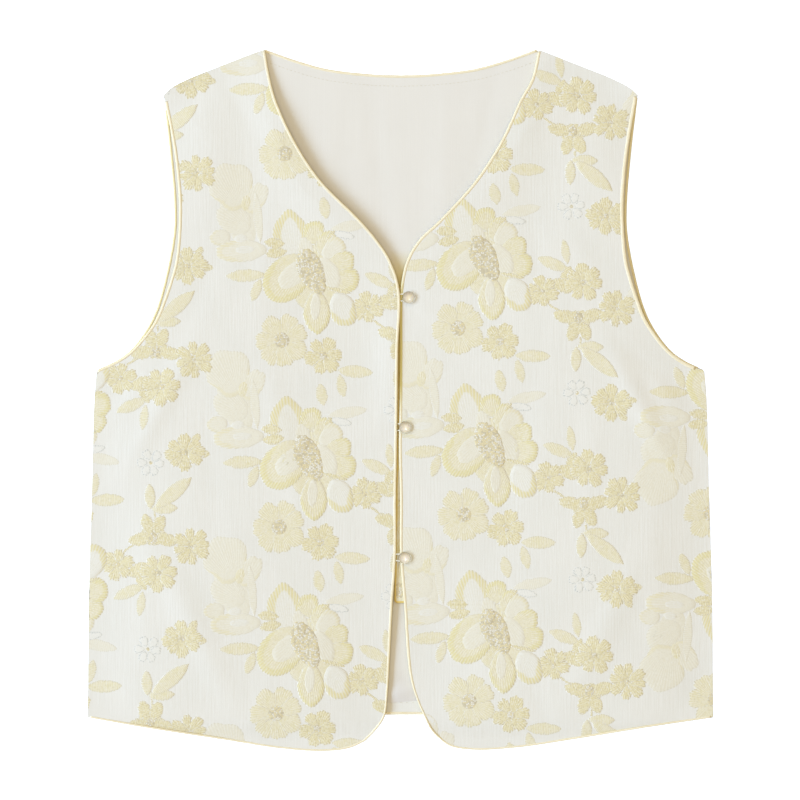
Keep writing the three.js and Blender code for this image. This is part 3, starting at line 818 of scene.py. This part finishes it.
def makeUnderlap():
    y = np.linspace(underlap["bottom"] + underlap["tucked"], underlap["top"], 121)
    start = np.column_stack([underlapEdge(y) + underlap["tucked"], y])
    end = np.column_stack([np.full_like(y, underlap["inner"]), y])
    bottom, top = np.linspace(start[0], end[0], 21), np.linspace(start[-1], end[-1], 21)
    edges = (bottom, top, start, end)
    mesh = panelMesh("underlap", 12, 120, edges, underlapTop)
    piece = finish("underlap", mesh, ["ivory", "lining"], ["placket"])
    addWall(piece, underlap["wall"], 1)
    return piece, rimOf(edges)


# the woven figure
repeat = {"columnStep": 190, "rowStep": 143.9, "shift": 26.3}
petalForm = {"sharp": 0.0, "egg": 0.0, "notch": 0.0, "lobes": 0, "wave": 0.03, "kind": "pale",
             "band": 0.0, "bandTurn": 0.0, "bandSpread": 0.45, "crosswise": 0.0, "rimless": 0.0}


def petal(x, y, long, wide, turn, kind="pale", **more):
    return {**petalForm, "x": x, "y": y, "long": long, "wide": wide, "turn": turn, "kind": kind, **more}


def leaf(x, y, long, wide, turn, kind="pale", **more):
    return petal(x, y, long, wide, turn, kind, **{"sharp": 0.45, "crosswise": 1.0, **more})


def stacked(petals, base=0.0, step=0.007):
    # each petal laid a thread higher than the one before
    return [{**one, "lift": base + step * order, "phase": 1.7 * order + one["x"]}
            for order, one in enumerate(petals)]


def blossom(x, y, count, ring, long, wide, turn, heart, kind="pale", squash=1.0, base=0.0, **more):
    # petals round a heart of knots, over a disc that closes the gaps between them
    disc = 2.1 * ring
    petals = [petal(x, y, disc, disc * squash, 0, kind, wave=0.0)]
    for k in range(count):
        angle = turn + 360 * k / count + 6 * math.sin(5 * k + x)
        out, up = ring * math.cos(math.radians(angle)), ring * squash * math.sin(math.radians(angle))
        size = 1 + 0.1 * math.sin(3 * k + y)
        petals.append(petal(x + out, y + up, long * size, wide * size, angle, kind,
                            **{"egg": 0.22, "notch": 0.12, "lobes": 7, "wave": 0.05, **more}))
    if heart:
        petals.append(petal(x, y, heart, heart, 0, "heart"))
    return stacked(petals, base)


def largeFlower():
    return stacked([
        petal(7, -9, 54, 46, 100),
        petal(-14, 19, 50, 28, 98, "ground", egg=0.14, band=6.5, bandSpread=0.75, lobes=5),
        petal(-3, 12, 24, 13, 100, "soft"),
        petal(3, 27, 19, 17, 95, egg=0.2, band=4, bandSpread=0.5, lobes=3),
        leaf(-27.5, 18.5, 17, 9, 176, "deep"), leaf(-26, 11, 18, 9, 190, "deep"),
        petal(-17, -8, 44, 33, 228, egg=0.1, band=5.5, bandSpread=0.55, wave=0.014),
        petal(-13, -6, 28, 17, 222, "soft", wave=0.06, rimless=1.0),
        petal(12, 19, 21, 15, 62, egg=0.2, band=2.5, lobes=3), leaf(16, 25, 10, 5, 50, "deep"),
        petal(18, 14.5, 21, 17, 38, "soft", egg=0.2, band=3, lobes=3, wave=0.05),
        petal(24, 4, 22, 18, 16, egg=0.2, band=2.6, lobes=3, wave=0.05),
        petal(27.5, -9, 23, 19, -10, egg=0.2, band=4.2, lobes=3, wave=0.05),
        petal(15, -4, 27, 16, -60, "soft", wave=0.06, rimless=1.0), leaf(22, -17, 21, 4.5, -14, "deep"),
        petal(6, -34, 34, 21, 272, egg=0.12, band=3.2, lobes=4),
        petal(5, -30, 22, 9, 268, "soft", rimless=1.0),
        petal(26, -32, 28, 21, 290, "ground", egg=0.1, band=5.4, bandSpread=0.4, lobes=4),
        petal(0.8, -2, 35, 21, 114, "heart", wave=0.05), petal(7, -13, 17, 12, 100, "heart", wave=0.05),
        petal(-3, 8, 14, 10, 70, "heart", wave=0.05),
    ], 0.02)


def paleFlower():
    return stacked([
        petal(-56, 40, 52, 24, 110, "soft", rimless=1.0), petal(-59, 36, 30, 23, 150, "soft"),
        petal(-60.5, 61, 38, 35, 112, "soft", egg=0.12, lobes=5, wave=0.04,
              band=4, bandTurn=180, bandSpread=0.2),
        petal(-42, 53, 28, 16, 62, "soft", notch=0.2, band=3, bandTurn=180),
        petal(-50, 49, 13, 8, 80, rimless=1.0),
        leaf(-40.5, 38, 40, 7.5, 96, "soft"), petal(-69.5, 22, 17, 13, 190, "soft", band=2),
        petal(-53, 12, 40, 18, 184, "soft", egg=0.1, lobes=5, band=4.5, bandSpread=0.2),
        petal(-50, 13, 16, 7, 184, "ground", rimless=1.0),
        petal(-53.5, 21.5, 11, 7, 10, "ground", rimless=1.0),
    ])


def spray():
    sprigs = [
        leaf(54, -43, 24, 2.6, -35, "deep"), leaf(88, -49, 16, 2.6, 12, "deep"),
        leaf(73.5, -69, 8, 2.2, 90, "deep"),
        leaf(54, -9, 26, 10, 156), leaf(64, 0, 20, 7.5, 97), leaf(64, -17, 15, 8, 60, "deep"),
        leaf(62, -26, 22, 12, -18, "deep"), petal(72.5, -53, 20, 16, 0, "deep"),
        leaf(62.5, -50, 20, 11, 166, "deep", sharp=0.2), leaf(82.5, -50, 19, 11, 14, "deep", sharp=0.2),
        leaf(68, -61.5, 17, 10.5, 252, "deep", sharp=0.2),
        leaf(77, -61.5, 16, 10.5, 292, "deep", sharp=0.2),
        petal(72.5, -51, 10, 8, 90, "heart"),
        leaf(81, -74, 21, 9.5, -3), leaf(69.5, -83, 20, 9, 266), leaf(87.5, -86, 37, 12, -41),
    ]
    return (stacked(sprigs) + blossom(45.6, -30, 6, 6.8, 12.5, 9.5, 100, 4.5, "deep", base=0.04)
            + blossom(77.3, -24, 7, 8.6, 14, 10, 90, 5, "deep", base=0.05)
            + blossom(102, -45, 8, 8.6, 14, 8.5, 80, 3.6, "deep", base=0.04))


def oneRepeat():
    # offsets from the heart of the large flower, in mm
    sprigs = stacked([
        leaf(36.5, -79.7, 28, 10.5, -3), leaf(26, -91, 19, 8.5, 282), leaf(10.8, 46, 18, 9.5, 101),
        leaf(31, 32.5, 31, 9.5, 10, "soft"), leaf(26, 25.5, 18, 7, -12, "drawn"),
        leaf(-49.5, -7, 31, 10.5, 183), leaf(-41, -18, 19, 8.5, 250),
    ], 0.003)
    plume = stacked([leaf(108, 27, 16, 8, 6, "deep"), leaf(104, 17, 13, 7.5, 300, "deep")], 0.005)
    plume += blossom(96, 26.5, 8, 9.4, 14, 9.5, 84, 5, "deep", squash=0.85, base=0.02)
    return (sprigs + paleFlower() + blossom(-20.5, -56.5, 7, 12.2, 19, 15.5, 76, 13, lobes=4, wave=0.06)
            + blossom(11.6, -68, 6, 8.2, 14.5, 11, 70, 7, "deep", base=0.01)
            + blossom(69.6, 34.8, 6, 6.6, 9.5, 7.2, 64, 3.4, "drawn") + plume + spray() + largeFlower())


# discs that the petals are bent from, by length in mm: rings of the top and sides
wheels = {
    "small": {"upTo": 15.5, "rings": (0.5, 0.9), "sides": 16},
    "middle": {"upTo": 30, "rings": (0.34, 0.66, 0.9), "sides": 24},
    "large": {"upTo": 99, "rings": (0.18, 0.36, 0.54, 0.72, 0.92), "sides": 40},
}
# heights of a petal's points over the cloth and widths, in mm; cut is its height where a seam cuts it
woven = {"rim": 0.6, "up": 0.04, "rimDrop": 0.02, "root": 0.5, "cut": 0.012, "thinning": 3.5,
         "sharp": math.radians(50), "noRim": 3, "foot": 1.3, "bandEase": 0.8, "notchWide": 0.3}


def wheelMesh(rings, sides):
    # a closed disc: top rings at z 1, the rim at 0, underside at -1
    bm = bmesh.new()
    top = [(0, 0, 1), *((r, 0, 1) for r in rings)]
    chain = [bm.verts.new(at) for at in (*top, (1, 0, 0), (0.6, 0, -1), (0, 0, -1))]
    edges = [bm.edges.new(pair) for pair in zip(chain, chain[1:])]
    bmesh.ops.spin(bm, geom=chain + edges, axis=(0, 0, 1), cent=(0, 0, 0),
                   angle=math.tau, steps=sides, use_merge=True)
    bmesh.ops.remove_doubles(bm, verts=bm.verts, dist=1e-4)
    bmesh.ops.recalc_face_normals(bm, faces=bm.faces)
    for edge in bm.edges:
        edge.smooth = min(v.co.xy.length for v in edge.verts) < 0.99
    return newMesh("wheel", bm)


def nearestOn(rim, x, y):
    # nearest point of a closed outline and the signed distance to it, positive inside
    a = rim
    d = np.roll(rim, -1, axis=0) - rim
    near, signed = np.empty((len(x), 2)), np.empty(len(x))
    for k in range(0, len(x), 6000):
        px, py = x[k:k + 6000, None], y[k:k + 6000, None]
        t = np.clip(((px - a[:, 0]) * d[:, 0] + (py - a[:, 1]) * d[:, 1]) / (d ** 2).sum(axis=1), 0, 1)
        nx, ny = a[:, 0] + t * d[:, 0], a[:, 1] + t * d[:, 1]
        gap = np.hypot(px - nx, py - ny)
        best = gap.argmin(axis=1)
        row = np.arange(len(best))
        crossing = (a[:, 1] > py) != ((a[:, 1] + d[:, 1]) > py)
        with np.errstate(divide="ignore", invalid="ignore"):
            hit = crossing & (px < a[:, 0] + d[:, 0] * (py - a[:, 1]) / d[:, 1])
        inside = hit.sum(axis=1) % 2 == 1
        near[k:k + 6000] = np.column_stack([nx[row, best], ny[row, best]])
        signed[k:k + 6000] = np.where(inside, 1, -1) * gap[row, best]
    return near, signed


def thinned(rim, gap=3.0):
    return evenly(np.vstack([rim, rim[:1]]), int(lengthOf(rim) / gap))[:-1]


def placedPetals(rim, origin, turn, mirrored=False):
    # every petal of the repeat whose place lies on the panel, in the panel's own mm
    cell = oneRepeat()
    c, s = math.cos(math.radians(turn)), math.sin(math.radians(turn))
    rows = []
    for column in range(-3, 4):
        flip = -1 if column % 2 else 1
        for row in range(-4, 5):
            atX = column * repeat["columnStep"]
            atY = row * repeat["rowStep"] + (repeat["shift"] if column % 2 else 0)
            for one in cell:
                x, y, angle = atX + one["x"], atY + flip * one["y"], flip * one["turn"]
                if mirrored:
                    x, angle = -x, 180 - angle
                bandTurn = one["bandTurn"] * flip * (-1 if mirrored else 1)
                rows.append({**one, "x": origin[0] + x * c - y * s, "y": origin[1] + x * s + y * c,
                             "turn": angle + turn, "bandTurn": bandTurn})
    x, y = (np.array([row[key] for row in rows]) for key in ("x", "y"))
    reach = np.array([row["long"] / 2 for row in rows])
    signed = nearestOn(thinned(rim), x, y)[1]
    return [row for row, keep in zip(rows, signed > -reach) if keep]


def petalPoints(petals, polar):
    # plan, height above the cloth and weave attribute of every point of a run of petals on one wheel
    def each(key):
        return np.repeat(np.array([row[key] for row in petals], float), len(polar))

    many = len(petals)
    radius = np.tile(np.hypot(polar[:, 0], polar[:, 1]), many)
    t = np.tile(np.arctan2(polar[:, 1], polar[:, 0]), many)
    level = np.tile(polar[:, 2], many)
    a, b = each("long") / 2, each("wide") / 2
    rim = np.minimum(woven["rim"], 0.3 * np.minimum(a, b))
    onTop = level > 0.5
    drawnIn = np.where(onTop, rim, 0)
    share = np.where(onTop, radius / polar[polar[:, 2] > 0.5, 0].max(), radius)
    lobes, phase = each("lobes"), each("phase")
    wave = np.cos(lobes * t + phase) * (lobes > 0)
    ragged = 1 + each("wave") * (wave + 0.5 * np.cos(5 * t + 2 * phase) + 0.4 * np.cos(8 * t + phase))
    ragged -= each("notch") * np.exp(-(t / woven["notchWide"]) ** 2)
    along = (a - drawnIn) * np.cos(t) * share * ragged
    across = (b - drawnIn) * np.sin(t) * share * np.abs(np.sin(t)) ** each("sharp") * ragged
    across *= 1 + each("egg") * np.cos(t)
    toTangent = a * b / np.sqrt((b * np.cos(t)) ** 2 + (a * np.sin(t)) ** 2)
    inward = drawnIn + (1 - share) * (toTangent - drawnIn) + woven["noRim"] * each("rimless")
    reach = np.cos(t - np.radians(each("bandTurn"))) + each("bandSpread")
    reach = np.clip(reach / woven["bandEase"], 0, 1)
    foot = woven["foot"] * a  # how far behind the petal's middle its floats fan out from
    fan = np.arctan2(across, along + foot) * foot
    fan = np.where(each("crosswise") > 0, along, fan)
    turn = np.radians(each("turn"))
    x = each("x") + along * np.cos(turn) - across * np.sin(turn)
    y = each("y") + along * np.sin(turn) + across * np.cos(turn)
    heights = [woven["up"] + each("lift"), np.full(len(t), -woven["rimDrop"])]
    height = np.select([onTop, level > -0.5], heights, -woven["root"])
    return x, y, height, np.column_stack([fan, inward, each("band") * reach]) * mm


def layFigure(name, rim, heightOf, petals, faceUp=True, fewer=0):
    # fewer is the sides left out of each petal
    kinds = [*figures, "heart"]
    figure = bmesh.new()
    least = 0
    for wheel in wheels.values():
        chosen = [row for row in petals if least < row["long"] <= wheel["upTo"]]
        least = wheel["upTo"]
        if not chosen:
            continue
        template = wheelMesh(wheel["rings"], wheel["sides"] - fewer)
        polar = readPoints(template)
        mesh = many(name, template, len(chosen))
        x, y, height, weave = petalPoints(chosen, polar)
        near, signed = nearestOn(thinned(rim, 2.0), x, y)
        outside = signed < 0
        weave[:, 1] += np.where(outside, np.hypot(x - near[:, 0], y - near[:, 1]), 0) * mm
        x, y = np.where(outside, near[:, 0], x), np.where(outside, near[:, 1], y)
        # petals thin out towards the edge that cuts them
        whole = np.clip(signed / woven["thinning"], 0, 1)
        height = np.where(height > -0.1, woven["cut"] + (height - woven["cut"]) * whole, height)
        z = heightOf(x, y) + height * (1 if faceUp else -1)
        writePoints(mesh, np.column_stack([x, y, z]) * mm)
        mesh.attributes.new("weave", "FLOAT_VECTOR", "POINT").data.foreach_set("vector", weave.ravel())
        index = np.repeat([kinds.index(row["kind"]) for row in chosen], len(template.polygons))
        mesh.polygons.foreach_set("material_index", index.astype(np.int32))
        bm = bmesh.new()
        bm.from_mesh(mesh)
        bm.verts.ensure_lookup_table()
        gone = [face for face in bm.faces if all(outside[v.index] for v in face.verts)]
        bmesh.ops.delete(bm, geom=gone, context="FACES")
        bmesh.ops.dissolve_degenerate(bm, dist=2e-5, edges=bm.edges)
        closeUp(bm)
        for edge in bm.edges:
            if edge.is_manifold and edge.calc_face_angle() > woven["sharp"]:
                edge.smooth = False
        bm.to_mesh(mesh)
        bm.free()
        figure.from_mesh(mesh)
        bpy.data.meshes.remove(mesh)
        bpy.data.meshes.remove(template)
    return finish(name, newMesh(name, figure), kinds, [])


# piping, cords, buttons and stitches
def besideOf(path):
    # the way a path in space runs at each point, and the level direction across it
    along = np.gradient(path, axis=0)
    level = np.column_stack([along[:, 1], -along[:, 0], np.zeros(len(path))])
    return along, level / np.maximum(np.linalg.norm(level, axis=1)[:, None], 1e-9)


def sweptTube(name, path, halfWide, halfHigh, sides, ripple=0.0, square=1.0):
    # a tube of oval section that stays upright along a path of points in mm
    count = len(path)
    halfWide = np.broadcast_to(halfWide, count)
    bm = bmesh.new()
    bm.loops.layers.uv.new("run")
    bmesh.ops.create_grid(bm, x_segments=count - 1, y_segments=sides, size=0.5, calc_uvs=True)
    mesh = newMesh(name, bm)
    grid = readPoints(mesh)
    station = np.rint((grid[:, 0] + 0.5) * (count - 1)).astype(int)
    angle = np.rint((grid[:, 1] + 0.5) * sides) / sides * math.tau
    along, level = besideOf(path)
    upright = np.cross(level, along / np.linalg.norm(along, axis=1)[:, None])
    upright *= np.sign(upright[:, 2:3] + 1e-9)
    run = runOf(path)
    waver = 1 + ripple * np.sin(run[station] / 1.9 + 2 * angle) * np.sin(run[station] / 8.3)
    out, up = (np.sign(part) * np.abs(part) ** square for part in (np.cos(angle), np.sin(angle)))
    points = path[station] + level[station] * (halfWide[station] * out * waver)[:, None]
    points += upright[station] * (halfHigh * up * waver)[:, None]
    writePoints(mesh, points * mm)
    uv = np.empty(len(mesh.loops) * 2, np.float32)
    mesh.uv_layers["run"].uv.foreach_get("vector", uv)
    uv = uv.reshape(-1, 2) * (run[-1] * mm, 1.0)
    mesh.uv_layers["run"].uv.foreach_set("vector", uv.astype(np.float32).ravel())
    bm = bmesh.new()
    bm.from_mesh(mesh)
    closeUp(bm, 1e-6)
    bm.to_mesh(mesh)
    bm.free()
    return mesh


pipingLook = {"halfWide": 1.2, "cornerWide": 0.85, "cornerFrom": -190, "cornerEase": 50, "proud": 0.24,
              "step": 1.6, "beside": 3.3, "backLow": 0.1, "backHigh": 2.7, "tube": (20, 0.02, 0.72),
              "ends": (0.003, 0.997)}
# one armhole's roll is wider, and the other's narrower at the underarm: y from, ease, by how much
armholeWider = {"left": 0.25, "right": 0.0}
armholeNarrower = {"right": (62, 24, 0.3), "left": (62, 24, 0.0)}


def pipedPath(line, inside, heightOf, trim):
    # centre of a band of piping that rides at the height of the cloth's edge beside it
    first, last = (int(share * (len(line) - 1)) for share in trim)
    line = line[first:last + 1]
    line = evenly(line, int(lengthOf(line) / pipingLook["step"]))
    cloth = inset(line, pipingLook["beside"], inside)
    return line, heightOf(cloth[:, 0], cloth[:, 1])


def armholeTrim(armhole, side):
    line = armholeOf(armhole, side)
    low, high = (bare / lengthOf(line) for bare in bareEnds[armhole, side])
    return low, 1 - high


def makeRoll(node, run, inside, wide, height, halfHigh, kind):
    path = np.column_stack([inset(run, wide[:, None], inside), height])
    mesh = sweptTube(node, path, wide, halfHigh, *pipingLook["tube"])
    return finish(node.replace("piping", "satin"), mesh, [kind], [node])


def makeFrontPiping(side):
    def middle(x, y):
        return frontUnder(side, x, y, fine=False) + layers["frontCloth"] / 2

    line = frontLine[side]
    halfHigh = layers["frontCloth"] / 2 + pipingLook["proud"]
    opening = np.vstack([line["inner"][::-1], line["hem"][1:-2]])
    pieces = {
        f"piping_front_{side}": (opening, (0.002, 1.0)),
        f"piping_armhole_{side}_front": (line["armhole"], armholeTrim("frontArmhole", side)),
    }
    made = []
    for node, (run, trim) in pieces.items():
        run, height = pipedPath(run, inFront[side], middle, trim)
        corner = ease((pipingLook["cornerFrom"] - run[:, 1]) / pipingLook["cornerEase"])
        wide = pipingLook["halfWide"] + (pipingLook["cornerWide"] - pipingLook["halfWide"]) * corner
        if "armhole" in node:
            start, over, less = armholeNarrower[side]
            wide = wide + armholeWider[side] - less * ease((start - run[:, 1]) / over)
        kind = "satinShaded" if node == "piping_front_left" else "satin"
        made.append(makeRoll(node, run, inFront[side], wide, height, halfHigh, kind))
    return made


def makeBackPiping():
    low, high = pipingLook["backLow"], pipingLook["backHigh"]

    def middle(x, y):
        return np.full_like(x, (low + high) / 2)

    def whole(name):
        right, left = lineOf(outline[name], "right"), lineOf(outline[name], "left")
        return np.vstack([right, left[::-1][1:]])

    pieces = {f"piping_back_{name}": (whole(f"back{name.title()}"), inBack, pipingLook["ends"])
              for name in ("neck", "hem")}
    for side in sideSign:
        hole = lineOf(outline["backArmhole"], side)
        pieces[f"piping_armhole_{side}_back"] = (hole, inFront[side], armholeTrim("backArmhole", side))
    made = []
    for node, (run, inside, trim) in pieces.items():
        run, height = pipedPath(run, inside, middle, trim)
        wide = np.full(len(run), pipingLook["halfWide"])
        kind = "satinBehindShaded" if "armhole" in node else "satin"
        made.append(makeRoll(node, run, inside, wide, height, (high - low) / 2, kind))
    return made


def makeUnderlapPiping():
    half, low = underlap["piping"] / 2, underlap["bottom"]
    y = np.linspace(underlap["top"], low + underlap["turn"], 150)
    down = np.column_stack([underlapEdge(y) + half, y])
    edge = underlap["edgeBottom"] + half
    corner = [(edge + 0.15, low + 1.5), (edge + 0.6, low + half)]
    x = np.linspace(-2.0, underlap["inner"], 24)
    run = evenly(np.vstack([down, corner, np.column_stack([x, np.full_like(x, low + half)])]), 190)
    path = np.column_stack([run, np.full(len(run), underlap["face"] - underlap["pipingDrop"])])
    mesh = sweptTube("underlapPiping", path, half, underlap["pipingHigh"], 12, 0, 0.8)
    return finish("satin_placket", mesh, ["satinUnderShaded"], ["placket_piping"])


buttons = {
    "places": [(6.3, 79.3), (3.6, -20.7), (3.3, -121.2)], "radius": 4.65, "clear": 0.6, "hole": (0.965, 0.5),
    "shankTurns": 3, "shankRadius": 1.1, "thread": 0.24,
    "loopRadius": 3.9, "loopReach": 2.3, "overPiping": 1.1, "ply": 0.29, "lay": 0.27, "pitch": 2.6,
    "under": 0.8,  # how far under the cloth's face the loop's roots lie
}


def topAt(side, x, y):
    at = np.array([[x], [y]], float)
    return float(frontUnder(side, *at, fine=False)[0]) + layers["frontCloth"]


def makePearl(number, x, y):
    # a ball with a drilled shank hole, on a wound thread shank
    base = topAt("left", x + 1, y)
    radius = buttons["radius"]
    bm = bmesh.new()
    bmesh.ops.create_uvsphere(bm, u_segments=40, v_segments=28, radius=radius)
    low = [v for v in bm.verts if v.co.z < -radius * buttons["hole"][0]]
    bmesh.ops.translate(bm, verts=low, vec=(0, 0, buttons["hole"][1]))
    bmesh.ops.translate(bm, verts=bm.verts, vec=(x, y, base + buttons["clear"] + radius))
    bmesh.ops.scale(bm, verts=bm.verts, vec=(mm, mm, mm))
    pearl = finish(f"pearl_{number}", newMesh(f"pearl{number}", bm), ["pearl"], [f"button_{number}"])
    t = np.linspace(0, buttons["shankTurns"] * math.tau, 48)
    wide = buttons["shankRadius"]
    path = np.column_stack([x + wide * np.cos(t), y + wide * np.sin(t), base - 0.1 + wide * t / t[-1]])
    mesh = sweptTube("shank", path, buttons["thread"], buttons["thread"], 8)
    return pearl, finish(f"shank_{number}", mesh, ["stitching"], [])


def makeLoop(number, x, y):
    # two plies of cord, twisted, from under the piping round the button and back
    edge = -np.interp(y, [row[0] for row in openingEdge], [row[1] for row in openingEdge])
    z = topAt("left", x, y) + buttons["overPiping"]
    radius, turn = buttons["loopRadius"], np.linspace(buttons["loopReach"], -buttons["loopReach"], 9)
    ring = [(x + radius * math.cos(a), y + radius * math.sin(a), z) for a in turn]
    root = topAt("right", edge - 3, y) - layers["frontCloth"] - buttons["under"]
    first = [(edge - 2.6, y + 2.2, root), (edge - 1.2, y + 2.3, root + 0.15),
             (edge + 0.6, y + 2.5, (root + z) / 2)]
    last = [(px, 2 * y - py, pz) for px, py, pz in reversed(first)]
    path = smoothLine(first + ring + last, 150)
    level = besideOf(path)[1]
    bm = bmesh.new()
    for start in (0, math.pi):
        twist = runOf(path) / buttons["pitch"] * math.tau + start
        ply = path + level * (buttons["lay"] * np.cos(twist))[:, None]
        ply[:, 2] += buttons["lay"] * np.sin(twist)
        bm.from_mesh(sweptTube("ply", ply, buttons["ply"], buttons["ply"], 8))
    return finish(f"cord_{number}", newMesh(f"cord{number}", bm), ["cord"], [f"loop_{number}"])


stitchLook = {
    "thick": 0.17, "jitter": 0.06, "over": 0.02,
    "neck": {"inset": 8.6, "long": 2.0, "gap": 1.1, "cut": 14},
    "hem": {"half": 234, "y": -233.4, "z": 2.36, "long": 1.4, "gap": 3.2},
}


def stitchRow(name, line, heightOf, look):
    # one small thread bead for each stitch, laid along a line
    long, thick = look["long"], stitchLook["thick"]
    count = int(lengthOf(line) / (long + look["gap"]))
    places = evenly(line, count)
    along = np.gradient(places, axis=0)
    turn = np.arctan2(along[:, 1], along[:, 0])
    bm = bmesh.new()
    bmesh.ops.create_uvsphere(bm, u_segments=8, v_segments=6, radius=1)
    bead = newMesh("bead", bm)
    shape = readPoints(bead)
    mesh = many(name, bead, count)
    bent = turn + stitchLook["jitter"] * np.sin(np.arange(count) * 2.4)
    x = np.tile(shape[:, 2], count) * long / 2
    y = np.tile(shape[:, 0], count) * thick
    c, s = (np.repeat(part, len(shape)) for part in (np.cos(bent), np.sin(bent)))
    px = np.repeat(places[:, 0], len(shape)) + x * c - y * s
    py = np.repeat(places[:, 1], len(shape)) + x * s + y * c
    pz = heightOf(px, py) + np.tile(shape[:, 1], count) * thick + stitchLook["over"]
    writePoints(mesh, np.column_stack([px, py, pz]) * mm)
    bpy.data.meshes.remove(bead)
    return finish(name, mesh, ["stitching"], [])


def makeStitches():
    neck, hem = stitchLook["neck"], stitchLook["hem"]
    right, left = (lineOf(outline["backNeck"], side)[neck["cut"]:] for side in ("right", "left"))
    line = inset(np.vstack([right, left[::-1][1:]]), neck["inset"], inBack)
    stitchRow("neckStitches", line, liningTopAt, neck)
    x = np.linspace(-hem["half"], hem["half"], 300)
    line = np.column_stack([x, np.full_like(x, hem["y"])])
    stitchRow("hemStitches", line, lambda x, y: np.full_like(x, hem["z"]), hem)


# the vest
lamps = setStudio()
bpy.ops.mesh.primitive_plane_add(size=studio["floorSize"], location=(0, 0, 0))
floor = bpy.context.object
floor.name = "floor"
floor.data.materials.append(floorMaterial())
print("studio ready")

backCloth, backRim = makeBack()
lining = makeLining()
facing = makeHemFacing()
lap, lapRim = makeUnderlap()
fronts = {side: makeFront(side) for side in sideSign}
print("panels laid")

# where the large flower's heart lies on each panel, and the turn of its cloth
figurePlace = {"right": ((-72.3, -41.5), -0.9), "left": ((67.5, -31.2), 1.7),
               "underlap": ((18, -90), 1.0), "back": ((-8, -34), 0.0)}
for side, (panel, rim) in fronts.items():
    petals = placedPetals(rim, *figurePlace[side])
    layFigure(f"figure{side.title()}", rim, partial(frontTop, side), petals)
petals = placedPetals(lapRim, *figurePlace["underlap"])
layFigure("figureUnderlap", lapRim, underlapTop, petals)
petals = placedPetals(backRim, *figurePlace["back"], mirrored=True)
layFigure("figureBack", backRim, backUnder, petals, faceUp=False, fewer=4)
print("figure woven")

satin = {side: makeFrontPiping(side) for side in sideSign}
satin["back"] = makeBackPiping()
satin["underlap"] = [makeUnderlapPiping()]
pearls = []
for number, place in enumerate(buttons["places"], 1):
    pearls += makePearl(number, *place)
    makeLoop(number, *place)
makeStitches()
print("piping, buttons and stitches made")

# the low light would blow out the balls and draw long shadows from them
linkLight(lamps["window"], "receiver_collection", pearls, "EXCLUDE")
linkLight(lamps["window"], "blocker_collection", pearls, "EXCLUDE")
linkLight(lamps["pearls"], "receiver_collection", pearls, "INCLUDE")
print("lights linked")
